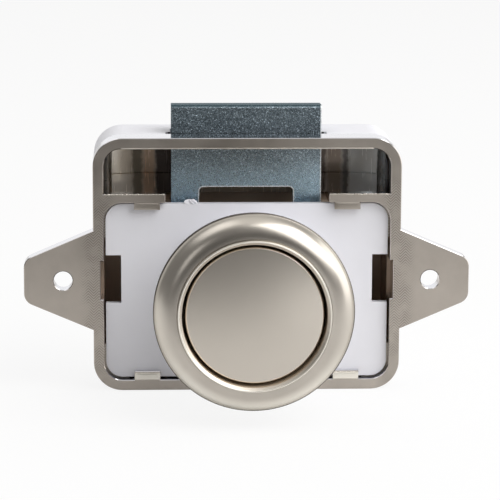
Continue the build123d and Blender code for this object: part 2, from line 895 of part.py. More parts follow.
with BuildPart() as ejector_spring:
    with BuildLine() as coil:
        for half in range(2 * spring_turns):
            begin = coil_point(half / 2)
            begin_way = coil_direction(half / 2)
            finish = coil_point((half + 1) / 2)
            finish_way = coil_direction((half + 1) / 2)
            joint, joint_way = biarc_joint(begin, begin_way, finish, finish_way)
            TangentArc(begin, joint, tangent=begin_way)
            TangentArc(joint, finish, tangent=joint_way)
    with BuildSketch(Plane(origin=coil_point(0), z_dir=coil_direction(0))):
        Circle(spring_wire_radius)
    sweep()
save(ejector_spring, "ejector_spring")
samples = [coil.line @ (n / (turn_points * spring_turns)) for n in range(turn_points * spring_turns)]
least_gap = min(
    (samples[a] - samples[b]).length
    for a in range(len(samples))
    for b in range(a + turn_points // 2, min(a + 2 * turn_points, len(samples)))
) - 2 * spring_wire_radius
print("least gap between the spring's turns", round(least_gap, 3))

# Catch track: a moulded block with a heart-shaped island that the wire rounds
lane_width = 2 * (wire_radius + lane_gap)
track_half = island_half + lane_width
wire_out = wire_depth - stroke
wire_in = wire_depth + overtravel
track_end = wire_in + lane_width / 2
island_nose = wire_out + lane_width / 2 + island_nose_gap
island_notch = wire_depth - wire_radius - island_notch_gap
with BuildPart() as catch_track:
    with BuildSketch(Plane.XY.offset(case_inner_bottom)):
        with Locations((0, frame_depth + track_block_end_gap)):
            Rectangle(
                track_block_width,
                case_floor - frame_depth - track_block_end_gap * 2,
                align=(Align.CENTER, Align.MIN),
            )
    extrude(amount=block_top - case_inner_bottom)
    with BuildSketch(Plane.XY.offset(block_top)) as lanes:
        with BuildLine():
            Polyline(
                (lane_width / 2, wire_out),
                (track_half, wire_out + track_half - lane_width / 2),
                (track_half, track_end),
                (divider_half, track_end),
                (0, track_end - divider_height),
                (-divider_half, track_end),
                (-track_half, track_end),
                (-track_half, wire_out + track_half - lane_width / 2),
                (-lane_width / 2, wire_out),
                close=True,
            )
        make_face()
        with Locations((0, wire_out)):
            Circle(lane_width / 2)
        fillet(lanes.vertices(), radius=track_round)
    extrude(amount=-track_depth, mode=Mode.SUBTRACT)
    with BuildSketch(Plane.XY.offset(track_floor)):
        with BuildLine():
            Polyline(
                (0, island_nose),
                (island_half, island_nose + island_half * 2),
                (island_half, island_notch),
                (island_half * island_lobe_share, island_notch + island_lobe_rise),
                (0, island_notch),
                (-island_half * island_lobe_share, island_notch + island_lobe_rise),
                (-island_half, island_notch),
                (-island_half, island_nose + island_half * 2),
                close=True,
            )
        make_face()
    extrude(amount=track_depth)
    with BuildSketch(Plane.XY.offset(case_inner_bottom)):
        with Locations((0, (frame_depth + case_floor) / 2)):
            Circle(track_peg_radius)
    extrude(amount=-track_peg_length)
save(catch_track, "catch_track")

# Catch wire: hooked through the carriage, its end standing in the track
with BuildPart() as catch_wire:
    with BuildLine(Plane.YZ) as hook:
        FilletPolyline(
            (carriage_front - wire_head_height, wire_pivot),
            (wire_depth, wire_pivot),
            (wire_depth, wire_tip),
            radius=wire_bend_radius,
        )
    with BuildSketch(at_depth(carriage_front - wire_head_height)):
        with Locations((0, wire_pivot)):
            Circle(wire_radius)
    sweep(path=hook.line)
    with BuildSketch(at_depth(carriage_front)):
        with Locations((0, wire_pivot)):
            Circle(wire_head_radius)
    extrude(amount=wire_head_height)
save(catch_wire, "catch_wire")

# Case screws: four pan heads sunk in the case's back, into the frame's bosses
screw_seat = case_back - case_screw_sink
with BuildPart() as case_screws:
    with BuildSketch(at_depth(screw_seat)):
        with Locations(*screw_places()):
            Circle(case_screw_radius)
    extrude(amount=screw_seat - plate_back - case_screw_tip_gap)
    with BuildSketch(at_depth(screw_seat + case_screw_head_height)):
        with Locations(*screw_places()):
            Circle(case_screw_head_radius)
    extrude(amount=case_screw_head_height)
    with BuildSketch(at_depth(screw_seat + case_screw_head_height)):
        with Locations(*screw_places()):
            Rectangle(cross_length, cross_width)
            Rectangle(cross_width, cross_length)
    extrude(amount=cross_depth, mode=Mode.SUBTRACT)
save(case_screws, "case_screws")
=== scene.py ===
# %% [markdown]
# # Push button cabinet lock, dressed for its portrait
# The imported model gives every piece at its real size. This script gives each one its
# finish, swaps a few for finer surfaces, and adds the lamps and the camera. It reads
# nothing but that model.

import math

import bpy
import numpy as np
from mathutils import Matrix, Vector


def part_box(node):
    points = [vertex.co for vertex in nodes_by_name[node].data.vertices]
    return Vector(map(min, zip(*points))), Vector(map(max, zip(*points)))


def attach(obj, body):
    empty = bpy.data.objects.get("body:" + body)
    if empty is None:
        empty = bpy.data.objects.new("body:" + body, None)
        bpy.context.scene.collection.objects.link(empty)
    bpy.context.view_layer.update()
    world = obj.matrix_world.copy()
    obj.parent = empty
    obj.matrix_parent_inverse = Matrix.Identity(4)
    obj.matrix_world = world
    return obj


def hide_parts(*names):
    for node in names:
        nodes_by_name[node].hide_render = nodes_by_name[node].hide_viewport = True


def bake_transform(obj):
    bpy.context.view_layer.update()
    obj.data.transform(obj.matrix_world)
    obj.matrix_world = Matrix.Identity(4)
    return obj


MM = 0.001
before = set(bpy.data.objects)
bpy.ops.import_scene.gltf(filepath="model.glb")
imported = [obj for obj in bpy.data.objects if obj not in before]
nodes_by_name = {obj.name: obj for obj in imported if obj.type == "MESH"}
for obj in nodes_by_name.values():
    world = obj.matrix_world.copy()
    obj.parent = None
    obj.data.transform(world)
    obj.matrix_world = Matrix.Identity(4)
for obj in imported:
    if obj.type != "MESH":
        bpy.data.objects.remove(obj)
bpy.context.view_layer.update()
scene = bpy.context.scene

# %% [markdown]
# ## Camera
# A product photograph is taken with a long lens, so far edges are hardly smaller than
# near ones. The place, lens and small roll below were fitted to the two screw holes and
# to the round ring. A sensor of 36 mm and a square picture turn the focal length in
# pixels into millimetres.

# %% Camera at the photograph's angle
PHOTO_SIDE_PX = 500
FOCAL_PX = 2509.6
SENSOR_MM = 36.0
CAMERA_DISTANCE = 450 * MM
CAMERA_TARGET = Vector((0.49 * MM, 0.0, 5.50 * MM))
CAMERA_AZIMUTH = math.radians(-2.6)
CAMERA_ELEVATION = math.radians(10.95)
CAMERA_ROLL = math.radians(0.276)


def camera_axes(azimuth, elevation, roll):
    """Right, up and backward directions of a camera that looks at its target."""
    back = Vector((
        math.sin(azimuth) * math.cos(elevation),
        -math.cos(azimuth) * math.cos(elevation),
        math.sin(elevation),
    ))
    level = Vector((math.cos(azimuth), math.sin(azimuth), 0.0))
    upright = back.cross(level)
    right = level * math.cos(roll) + upright * math.sin(roll)
    up = upright * math.cos(roll) - level * math.sin(roll)
    return right, up, back


right, up, back = camera_axes(CAMERA_AZIMUTH, CAMERA_ELEVATION, CAMERA_ROLL)
camera = bpy.data.objects.new("camera", bpy.data.cameras.new("camera"))
scene.collection.objects.link(camera)
camera.data.sensor_width = SENSOR_MM
camera.data.lens = FOCAL_PX / PHOTO_SIDE_PX * SENSOR_MM
camera.data.clip_start = 10 * MM
camera.data.clip_end = 20.0
camera.matrix_world = Matrix.Translation(CAMERA_TARGET + back * CAMERA_DISTANCE) @ Matrix(
    (right, up, back)
).transposed().to_4x4()
scene.camera = camera
scene.view_settings.view_transform = "Standard"
print("camera height above the floor plane, mm:", round(camera.location.z / MM, 1))

# %% [markdown]
# ## Floor and room
# Metal shows what stands round it more than its own colour. A flat face seen from a
# little above mirrors the table in front of it, so the table ends a short way in front
# and the room beyond is darker. A photographer would also lay a dark cloth there, which
# only light and mirrors find here. The camera sees the table and the backdrop as nearly
# plain white, while the light that falls on the object stays at its own level.

# %% Helpers for node trees
def add_node(tree, kind, values=(), **settings):
    """A shader node with its input values, given by socket name, and its settings."""
    node = tree.nodes.new("ShaderNode" + kind)
    for name, value in settings.items():
        setattr(node, name, value)
    for name, value in dict(values).items():
        node.inputs[name].default_value = value
    return node


def remap(tree, source, low, high, start=0.0, end=1.0, soft=False):
    """The value taken from start..end to low..high, with soft ends if asked."""
    node = add_node(tree, "MapRange", {
        "From Min": start, "From Max": end, "To Min": low, "To Max": high,
    })
    if soft:
        node.interpolation_type = "SMOOTHSTEP"
    tree.links.new(source, node.inputs["Value"])
    return node.outputs["Result"]


def feed(tree, socket, value):
    """Sets a socket to a number or a colour, or links it to another node's output."""
    if isinstance(value, (int, float)):
        socket.default_value = value
    elif isinstance(value, tuple):
        socket.default_value = (*value, 1)
    else:
        tree.links.new(value, socket)


def calculate(tree, operation, *values):
    """One arithmetic step on sockets or plain numbers."""
    node = add_node(tree, "Math", operation=operation)
    for place, value in enumerate(values):
        feed(tree, node.inputs[place], value)
    return node.outputs["Value"]


def product(tree, *factors):
    """All the factors multiplied together."""
    total = factors[0]
    for factor in factors[1:]:
        total = calculate(tree, "MULTIPLY", total, factor)
    return total


def axes_of(tree, place):
    """The three coordinates of a place: across, away and upward."""
    spot = add_node(tree, "SeparateXYZ")
    tree.links.new(place, spot.inputs[0])
    return spot.outputs["X"], spot.outputs["Y"], spot.outputs["Z"]


def mixed(tree, weight, first, second):
    """First where the weight is nought, second where it is one.

    A second value of three numbers is a colour, and then colours are mixed."""
    kind = "RGBA" if isinstance(second, tuple) else "FLOAT"
    node = add_node(tree, "Mix", data_type=kind)
    for name, value in (("Factor", weight), ("A", first), ("B", second)):
        feed(tree, node.inputs[name], value)
    return node.outputs["Result"]


def seen_directly(tree):
    """Two switches, for camera rays and for mirror or glass rays.

    Both are nought for the light that falls on the object."""
    path = add_node(tree, "LightPath")
    mirrored = calculate(
        tree, "ADD", path.outputs["Is Glossy Ray"], path.outputs["Is Transmission Ray"]
    )
    return path.outputs["Is Camera Ray"], mirrored


# %% Floor
FLOOR_HEIGHT = -20.25 * MM
FLOOR_FRONT = -600 * MM
FLOOR_BACK = 2.4
FLOOR_HALF = 1.6
FLOOR_ALBEDO = 0.90
FLOOR_WHITE_SHARE = 0.86
FLOOR_MIRRORED_SHARE = 0.25
CLOTH_BACK = -90 * MM
CLOTH_FULL = -185 * MM
CLOTH_LEVEL = 0.16
CLOTH_RIGHT_SHARES = (0.12, 0.40)
CLOTH_RIGHT_START = -220 * MM
CLOTH_RIGHT_END = -330 * MM


def flat_sheet(name, corners, material):
    """One flat face through its corners, marked as stage."""
    mesh = bpy.data.meshes.new(name)
    mesh.from_pydata([tuple(c) for c in corners], [], [tuple(range(len(corners)))])
    mesh.materials.append(material)
    sheet = bpy.data.objects.new(name, mesh)
    scene.collection.objects.link(sheet)
    return sheet


def white_table(name):
    """A matt white table whose share of plain white is seen, not cast.

    Light and mirrors find a dark cloth in front, with its right side open, where the
    camera finds bare table. The share of width over depth says where that side begins,
    and beyond its end the cloth closes again."""
    material = bpy.data.materials.new(name)
    material.use_nodes = True
    tree = material.node_tree
    shader = tree.nodes["Principled BSDF"]
    shader.inputs["Roughness"].default_value = 1.0
    shader.inputs["Specular IOR Level"].default_value = 0.0
    across, away, _ = axes_of(tree, add_node(tree, "TexCoord").outputs["Object"])
    bare = remap(tree, away, 0.0, 1.0, CLOTH_FULL, CLOTH_BACK, soft=True)
    ahead = calculate(tree, "MAXIMUM", product(tree, away, -1.0), MM)
    slant = calculate(tree, "DIVIDE", across, ahead)
    open_side = remap(tree, slant, 0.0, 1.0, *CLOTH_RIGHT_SHARES, soft=True)
    near = remap(tree, away, 0.0, 1.0, CLOTH_RIGHT_END, CLOTH_RIGHT_START, soft=True)
    open_side = product(tree, open_side, near)
    camera_ray, mirrored = seen_directly(tree)
    uncovered = calculate(tree, "MAXIMUM", bare, open_side)
    uncovered = calculate(tree, "MAXIMUM", uncovered, camera_ray)
    fade = remap(tree, uncovered, CLOTH_LEVEL, 1.0)
    tone = add_node(tree, "CombineColor")
    for channel in ("Red", "Green", "Blue"):
        tree.links.new(product(tree, fade, FLOOR_ALBEDO), tone.inputs[channel])
    tree.links.new(tone.outputs["Color"], shader.inputs["Base Color"])
    mirrored = calculate(tree, "MINIMUM", mirrored, 1.0)
    seen = calculate(
        tree, "MAXIMUM",
        product(tree, camera_ray, FLOOR_WHITE_SHARE),
        product(tree, mirrored, FLOOR_MIRRORED_SHARE),
    )
    white = add_node(tree, "Emission", {"Color": (1, 1, 1, 1)})
    tree.links.new(fade, white.inputs["Strength"])
    chosen = add_node(tree, "MixShader")
    tree.links.new(seen, chosen.inputs[0])
    tree.links.new(shader.outputs[0], chosen.inputs[1])
    tree.links.new(white.outputs[0], chosen.inputs[2])
    tree.links.new(chosen.outputs[0], tree.nodes["Material Output"].inputs["Surface"])
    return material


flat_sheet(
    "floor",
    (
        (-FLOOR_HALF, FLOOR_FRONT, FLOOR_HEIGHT),
        (FLOOR_HALF, FLOOR_FRONT, FLOOR_HEIGHT),
        (FLOOR_HALF, FLOOR_BACK, FLOOR_HEIGHT),
        (-FLOOR_HALF, FLOOR_BACK, FLOOR_HEIGHT),
    ),
    white_table("white_table"),
)
print("floor from", FLOOR_FRONT, "to", FLOOR_BACK, "m")

# %% Room light
ROOM_FRONT = 0.13
ROOM_LEFT = 0.20
ROOM_RIGHT = 0.34
ROOM_TOP = 0.75
ROOM_BEHIND = 0.95
ROOM_TINT = (1.0, 0.985, 0.965, 1)
SIDE_TURNS = (-0.45, 0.75)
FRONT_TURNS = (-0.98, -0.80)
BEHIND_TURNS = (0.45, 0.85)
OVERHEAD_TURNS = (0.75, 0.98)

world = bpy.data.worlds.new("studio")
scene.world = world
world.use_nodes = True
tree = world.node_tree
tree.nodes.clear()
across, away, upward = axes_of(tree, add_node(tree, "TexCoord").outputs["Generated"])

sides = remap(tree, across, ROOM_LEFT, ROOM_RIGHT, *SIDE_TURNS, soft=True)
facing = remap(tree, away, 1.0, 0.0, *FRONT_TURNS, soft=True)
behind = remap(tree, away, 0.0, 1.0, *BEHIND_TURNS, soft=True)
overhead = remap(tree, upward, 0.0, 1.0, *OVERHEAD_TURNS, soft=True)
level = mixed(tree, facing, sides, ROOM_FRONT)
level = mixed(tree, overhead, level, ROOM_TOP)
level = mixed(tree, behind, level, ROOM_BEHIND)
room = add_node(tree, "Background", {"Color": ROOM_TINT})
tree.links.new(level, room.inputs["Strength"])
white = add_node(tree, "Background", {"Color": (1, 1, 1, 1), "Strength": 1.0})
camera_ray, mirrored = seen_directly(tree)
backdrop = product(tree, mirrored, behind)
chosen = add_node(tree, "MixShader")
seen = calculate(tree, "MINIMUM", calculate(tree, "ADD", camera_ray, backdrop), 1.0)
tree.links.new(seen, chosen.inputs[0])
tree.links.new(room.outputs[0], chosen.inputs[1])
tree.links.new(white.outputs[0], chosen.inputs[2])
out = add_node(tree, "OutputWorld")
tree.links.new(chosen.outputs[0], out.inputs[0])
print("room levels, left to right:", ROOM_LEFT, ROOM_FRONT, ROOM_RIGHT)

# %% [markdown]
# ## Lamps
# Soft boxes stand round a product like windows, and each one shows in the metal as a
# bright shape. The key panel is high on the right and makes the ring's highlight, the
# right panel lights the side faces, and the left strip draws a streak on the ring. The
# fill lifts the shadows, and a small card on the table brightens the button's right side.
# Each lamp has a radiance and not a power, because the radiance is what a mirror shows.

# %% Lamps
LAMPS = (
    # name, azimuth and elevation in degrees, distance, width, height, radiance
    ("key_panel", 49, 42, 0.80, 0.68, 0.74, 3.1),
    ("right_panel", 96, 18, 0.80, 0.80, 0.56, 1.5),
    ("left_strip", -34, 19, 0.90, 0.17, 0.30, 1.5),
    ("left_fill", -80, 62, 0.90, 0.60, 0.50, 0.80),
    ("table_card", 11.7, -6.7, 0.134, 0.020, 0.009, 2.2),
)


def soft_box(name, azimuth, elevation, distance, width, height, radiance):
    """A lamp that faces the object. Its power is pi times its area times its radiance."""
    data = bpy.data.lights.new(name, "AREA")
    data.shape = "RECTANGLE"
    data.size = width
    data.size_y = height
    data.energy = math.pi * width * height * radiance
    lamp = bpy.data.objects.new(name, data)
    scene.collection.objects.link(lamp)
    turn, rise = math.radians(azimuth), math.radians(elevation)
    place = distance * Vector((
        math.sin(turn) * math.cos(rise), -math.cos(turn) * math.cos(rise), math.sin(rise)
    ))
    lamp.location = place
    lamp.rotation_mode = "QUATERNION"
    lamp.rotation_quaternion = place.to_track_quat("Z", "Y")
    lamp.visible_camera = False
    return lamp


for values in LAMPS:
    soft_box(*values)
print("lamps:", [values[0] for values in LAMPS])

# %% [markdown]
# ## Finishes
# Each finish is one procedural material. It reads Object coordinates, which are metres
# in the model's own frame, so a grain of a tenth of a millimetre has a scale of about
# ten thousand.

# %% Helpers for finishes
# Most values of a noise lie between these two.
NOISE_RANGE = (0.3, 0.7)


def new_finish(name):
    """A material with its tree, its shader and the Object coordinates to build on."""
    material = bpy.data.materials.new(name)
    material.use_nodes = True
    tree = material.node_tree
    shader = tree.nodes["Principled BSDF"]
    place = add_node(tree, "TexCoord")
    return material, tree, shader, place.outputs["Object"]


def stretched(tree, source, scale):
    """The coordinates times a scale along each axis, for streaks and brush lines."""
    mapping = add_node(tree, "Mapping", {"Scale": scale})
    tree.links.new(source, mapping.inputs["Vector"])
    return mapping.outputs["Vector"]


def noise(tree, source, scale, detail=4.0, roughness=0.55):
    """Soft cloudy noise between 0 and 1."""
    node = add_node(tree, "TexNoise", {"Scale": scale, "Detail": detail, "Roughness": roughness})
    tree.links.new(source, node.inputs["Vector"])
    return node.outputs["Fac"]


def band(tree, value, low, high, soft_edge):
    """One between low and high, falling softly to nought over the edge on each side."""
    rise = remap(tree, value, 0.0, 1.0, low - soft_edge, low + soft_edge, soft=True)
    fall = remap(tree, value, 1.0, 0.0, high - soft_edge, high + soft_edge, soft=True)
    return product(tree, rise, fall)


def beyond_core(tree, across, upward, half_width, half_height):
    """Distance outside a rectangle, round at its corners: the root of two squares."""
    squares = []
    for distance, half in ((across, half_width), (upward, half_height)):
        reach = calculate(tree, "SUBTRACT", calculate(tree, "ABSOLUTE", distance), half)
        reach = calculate(tree, "MAXIMUM", reach, 0.0)
        squares.append(product(tree, reach, reach))
    return calculate(tree, "SQRT", calculate(tree, "ADD", *squares))


def dress(tree, shader, colour, rough, height, distance, strength=1.0):
    """Gives a shader its colour, its roughness and its bump.

    The bump comes from a height between 0 and 1, at a real depth in metres."""
    tree.links.new(colour, shader.inputs["Base Color"])
    tree.links.new(rough, shader.inputs["Roughness"])
    node = add_node(tree, "Bump", {"Distance": distance, "Strength": strength})
    tree.links.new(height, node.inputs["Height"])
    tree.links.new(node.outputs["Normal"], shader.inputs["Normal"])


# %% [markdown]
# ## Satin nickel
# The ring and the button are cast, blasted to a fine pearl grain and plated. One function makes
# both:
# clouds of light and dark, a faint grain as bump, a painted sheen that lightens the ring's outer
# slope, a painted floor reflection low on it, and zones of painted light and shade on the lip,
# the bore, the outer edge and the button's edge. Roughness stays above 0.274: the denoiser takes
# smoother metal for a mirror, and a border between the two would show as fine cracks.

# %% Satin nickel
CLOUD_SCALE = 118.0
CLOUD_TONE = 0.5
PEARL_SCALE = 520.0
PEARL_DEPTH = 0.002 * MM
NICKEL_TINT = (0.55, 0.53, 0.50, 1)
PAINTED_SHEEN_START = 14.2 * MM
PAINTED_SHEEN_FULL = 16.8 * MM
PAINTED_FLOOR_REFLECTION = (1.0, 0.96, 0.87)
PAINTED_FLOOR_REFLECTION_SHARE = 0.85
PAINTED_FLOOR_REFLECTION_FULL = -14 * MM
PAINTED_FLOOR_REFLECTION_START = -4 * MM
ZONE_EDGE = 0.02 * MM


def satin_nickel(name, light, dark, rough_low, rough_high, painted_zones=()):
    """Plated casting with a fine pearl grain and cloudy tone, painted lighter further out as a
    sheen, with a painted floor reflection low down.

    A zone has limits of radius and depth in mm, a painted colour of light or shade, and its own
    roughness and metallic."""
    material, tree, shader, place = new_finish(name)
    shader.inputs["Specular Tint"].default_value = NICKEL_TINT
    clouds = noise(tree, place, CLOUD_SCALE)
    grain = noise(tree, place, PEARL_SCALE, detail=2.0)
    across, depth, upward = axes_of(tree, place)
    radius = beyond_core(tree, across, upward, 0.0, 0.0)
    # Painted sheen: the colour gets lighter further out from the axis.
    outward = remap(tree, radius, 0.0, 1.0, PAINTED_SHEEN_START, PAINTED_SHEEN_FULL, soft=True)
    colour = mixed(tree, mixed(tree, clouds, outward, CLOUD_TONE), dark, light)
    # Painted floor reflection: the outer slope is lighter and warmer low down, where it faces the
    # table.
    low = remap(tree, upward, PAINTED_FLOOR_REFLECTION_SHARE, 0.0, PAINTED_FLOOR_REFLECTION_FULL, PAINTED_FLOOR_REFLECTION_START, soft=True)
    colour = mixed(tree, product(tree, low, outward), colour, PAINTED_FLOOR_REFLECTION)
    rough = remap(tree, grain, rough_low, rough_high)
    metal = add_node(tree, "Value").outputs["Value"]
    metal.default_value = 1.0
    # Each zone paints light or shade into the colour over its band of radius and depth.
    for inner, outer, front, back, tone, roughness, metallic in painted_zones:
        share = product(
            tree,
            band(tree, radius, inner * MM, outer * MM, ZONE_EDGE),
            band(tree, depth, front * MM, back * MM, ZONE_EDGE),
        )
        colour = mixed(tree, share, colour, tone)
        rough = mixed(tree, share, rough, roughness)
        metal = mixed(tree, share, metal, metallic)
    tree.links.new(metal, shader.inputs["Metallic"])
    dress(tree, shader, colour, rough, grain, PEARL_DEPTH)
    return material


RING_PAINTED_ZONES = (
    # inner and outer radius, front and back depth, colour, roughness, metallic
    # Painted reflection: a lighter tone on the cone at the bore's mouth.
    (12.20, 12.62, -31.2, -30.6, (0.66, 0.60, 0.52), 0.45, 1.0),
    # Painted highlight along the lip's ridge.
    (12.66, 13.04, -31.2, -30.4, (0.92, 0.88, 0.80), 0.40, 1.0),
    # Painted brown reflection on the bore's wall, less metallic so that it catches light.
    (11.00, 12.45, -30.6, -17.0, (0.62, 0.50, 0.37), 0.55, 0.3),
    # Painted dark reflection round the ring's outer edge.
    (16.95, 17.20, -28.3, -26.4, (0.14, 0.125, 0.11), 0.40, 1.0),
)
BUTTON_PAINTED_ZONES = (
    # inner and outer radius, front and back depth, colour, roughness, metallic
    # Painted highlight round the button's edge.
    (11.42, 11.69, -30.2, -29.6, (0.90, 0.85, 0.77), 0.32, 1.0),
)
ring_nickel = satin_nickel(
    "ring_nickel", (0.78, 0.73, 0.65), (0.40, 0.365, 0.325), 0.278, 0.305, RING_PAINTED_ZONES
)
button_nickel = satin_nickel(
    "button_nickel", (0.65, 0.60, 0.535), (0.57, 0.525, 0.465), 0.278, 0.300, BUTTON_PAINTED_ZONES
)
print("satin finishes:", ring_nickel.name, button_nickel.name)

# %% [markdown]
# ## Linished frame
# The frame's front is ground flat after casting, and the cutter leaves a zigzag of fine
# marks on the rim's sides and the ears' roots. Its narrow sides keep the bright plating.
# The face's own direction tells front from side, so one finish does both, and it also paints
# faces that look up lighter, as a painted reflection.

# %% Linished frame
FRAME_CLOUD_SCALE = 160.0
FRAME_GRAIN_SCALE = 3000.0
PATCH_SCALE = 220.0
PATCH_SHARES = (0.30, 1.0)
PATCH_LEVELS = (0.38, 0.55)
FRONT_TURN = (0.90, 0.99)
SIDE_ROUGHNESS = 0.13
FRONT_ROUGHNESS = (0.30, 0.38)
FRAME_BUMP = 0.0010 * MM
MARK_PITCH = 0.50 * MM
MARK_ZIGZAG = 0.95 * MM
MARK_INNER = 24.4 * MM
MARK_OUTER = 29.6 * MM
MARK_FADE = 1.2 * MM
MARK_DEPTH = 0.65
MARK_DARKNESS = 0.35
GROOVE_START = -0.2
PAINTED_TOP_REFLECTION = (0.76, 0.77, 0.82)
PAINTED_TOP_SHARES = (0.0, 0.9)
PAINTED_TOP_TURN = (0.25, 0.85)


def linished_nickel(name, light, dark):
    """Plated casting: its sides mirror, its front is satin with zigzag cutter marks.

    The marks are a sine of the height, shifted by a triangle wave of the width. Faces that look
    up get a lighter painted reflection."""
    material, tree, shader, place = new_finish(name)
    shader.inputs["Metallic"].default_value = 1.0
    clouds = noise(tree, place, FRAME_CLOUD_SCALE)
    grain = noise(tree, place, FRAME_GRAIN_SCALE, detail=3.0)
    _, turned_away, turned_up = axes_of(tree, add_node(tree, "TexCoord").outputs["Normal"])
    frontness = calculate(tree, "ABSOLUTE", turned_away)
    front = remap(tree, frontness, 0.0, 1.0, *FRONT_TURN, soft=True)
    across, _, upward = axes_of(tree, place)
    shift = calculate(tree, "PINGPONG", across, MARK_ZIGZAG)
    along = calculate(tree, "ADD", upward, shift)
    wave = calculate(tree, "SINE", product(tree, along, 2 * math.pi / MARK_PITCH))
    sideways = band(tree, calculate(tree, "ABSOLUTE", across), MARK_INNER, MARK_OUTER, MARK_FADE)
    patchy = remap(tree, noise(tree, place, PATCH_SCALE), *PATCH_SHARES, *PATCH_LEVELS, soft=True)
    marks = product(tree, sideways, patchy, front)
    crests = remap(tree, wave, 0.0, MARK_DEPTH, GROOVE_START, 1.0)
    grooves = product(tree, crests, marks)
    colour = mixed(tree, clouds, dark, light)
    # Painted reflection: faces that look up are lighter, as if mirroring the white case and
    # backdrop above.
    painted_top = remap(tree, turned_up, *PAINTED_TOP_SHARES, *PAINTED_TOP_TURN)
    colour = mixed(tree, painted_top, colour, PAINTED_TOP_REFLECTION)
    colour = mixed(tree, grooves, colour, tuple(MARK_DARKNESS * value for value in dark))
    satin = remap(tree, clouds, *FRONT_ROUGHNESS, *NOISE_RANGE)
    rough = mixed(tree, front, SIDE_ROUGHNESS, satin)
    height = calculate(tree, "ADD", product(tree, wave, marks), grain)
    dress(tree, shader, colour, rough, height, FRAME_BUMP)
    return material


frame_nickel = linished_nickel("frame_nickel", (0.57, 0.52, 0.465), (0.38, 0.34, 0.30))
print("marks from", MARK_INNER / MM, "to", MARK_OUTER / MM, "mm off the middle")

# %% [markdown]
# ## White moulded plastic
# The plate and the case are the same white plastic with a hint of blue. The brown light that the
# case's inside gets back from the metal round it is painted into its colour, and its two small
# notches are painted black as shade in their depth. A distance from a rounded rectangle tells
# inside from outside.

# %% White moulded plastic
PLASTIC_TONES = ((0.81, 0.81, 0.855), (0.85, 0.85, 0.895))
PLASTIC_CLOUD_SCALE = 90.0
PLASTIC_GRAIN_SCALE = 2500.0
PLASTIC_GRAIN_DEPTH = 0.002 * MM
PLASTIC_ROUGHNESS = (0.38, 0.50)
CASE_MIDDLE = 2.75 * MM
CASE_CORE_WIDTH = 22.4 * MM
CASE_CORE_HEIGHT = 17.8 * MM
CASE_SKIN = 4.25 * MM
CASE_INSIDE_BACK = 16.9 * MM
CASE_TOP = 25.72 * MM
NOTCH_FLOOR = 23.8 * MM
NOTCH_INNER = 13.70 * MM
NOTCH_OUTER = 14.14 * MM
NOTCH_BACK = 12.0 * MM
NOTCH_EDGE = 0.01 * MM
NOTCH_PAINTED_SHADE = (0.02, 0.02, 0.02)
PAINTED_INSIDE_REFLECTION = (0.60, 0.45, 0.34)


def white_plastic(name, painted_inside=None):
    """Bluish white plastic with a very fine moulded texture, and a painted brown reflection
    inside.

    Inside is where the distance from a rectangular core is less than the skin's. The two notches
    beside the latch are painted black as shade in their depth."""
    material, tree, shader, place = new_finish(name)
    clouds = noise(tree, place, PLASTIC_CLOUD_SCALE)
    grain = noise(tree, place, PLASTIC_GRAIN_SCALE, detail=2.0)
    colour = mixed(tree, clouds, *PLASTIC_TONES)
    if painted_inside:
        across, away, upward = axes_of(tree, place)
        raised_by = calculate(tree, "SUBTRACT", upward, CASE_MIDDLE)
        depth = beyond_core(tree, across, raised_by, CASE_CORE_WIDTH, CASE_CORE_HEIGHT)
        painted_inside_share = product(
            tree,
            calculate(tree, "LESS_THAN", depth, CASE_SKIN),
            calculate(tree, "LESS_THAN", away, CASE_INSIDE_BACK),
        )
        # Painted brown reflection and shade inside the case.
        colour = mixed(tree, painted_inside_share, colour, painted_inside)
        # Painted shade: the notches are black in their depth.
        notch_shade = product(
            tree,
            band(tree, calculate(tree, "ABSOLUTE", across), NOTCH_INNER, NOTCH_OUTER, NOTCH_EDGE),
            band(tree, upward, NOTCH_FLOOR, CASE_TOP, NOTCH_EDGE),
            calculate(tree, "LESS_THAN", away, NOTCH_BACK),
        )
        colour = mixed(tree, notch_shade, colour, NOTCH_PAINTED_SHADE)
    rough = remap(tree, clouds, *PLASTIC_ROUGHNESS)
    dress(tree, shader, colour, rough, grain, PLASTIC_GRAIN_DEPTH)
    return material


moulded_white = white_plastic("moulded_white")
case_white = white_plastic("case_white", painted_inside=PAINTED_INSIDE_REFLECTION)
print("plastics:", moulded_white.name, case_white.name)

# %% [markdown]
# ## Zinc plated sheet
# The latch is punched from rolled sheet and plated with bluish zinc, whose crystals catch the
# light one by one. A cell pattern gives every crystal its own brightness, roughness and height,
# with painted glints on the brightest. The colour also carries painted light: lighter and bluer
# low down, painted shade higher up, a dark painted reflection over the bend, and painted
# highlights along the cutout and the right edge.

# %% Zinc plated sheet
CRYSTAL_SCALE = 7200.0
CRYSTAL_DEPTH = 0.012 * MM
CRYSTAL_STRENGTH = 0.8
CRYSTAL_ROUGHNESS = (0.20, 0.42)
ZINC_CLOUD_SCALE = 260.0
ZINC_TINT = (0.32, 0.38, 0.41, 1)
ZINC_TONES = ((0.10, 0.13, 0.15), (0.64, 0.76, 0.84))
ZINC_METALLIC = 0.35
SPECK_START = 0.50
SPECK_SHARE = 0.5
PAINTED_GLINT_START = 0.90
PAINTED_GLINT_SHARE = 0.6
GROUND_SHARE = 0.55
PAINTED_UPPER_SHADE_SHARE = 0.35
CLOUD_LEVELS = (0.75, 1.25)
CLOUDS_LOW = 13 * MM
CLOUDS_HIGH = 27 * MM
PAINTED_LOW_REFLECTION_SHARE = 0.7
PAINTED_LOW_REFLECTION_FULL = 15.0 * MM
PAINTED_LOW_REFLECTION_END = 22.5 * MM
CUTOUT_RADIUS = 0.8 * MM
CUTOUT_HALF = 8.5 * MM
CUTOUT_TOP = 16.05 * MM
LATCH_HALF = 13.53 * MM
LATCH_TOP_BAND = 30.50 * MM
HIGHLIGHT_LINE_WIDTH = 0.18 * MM
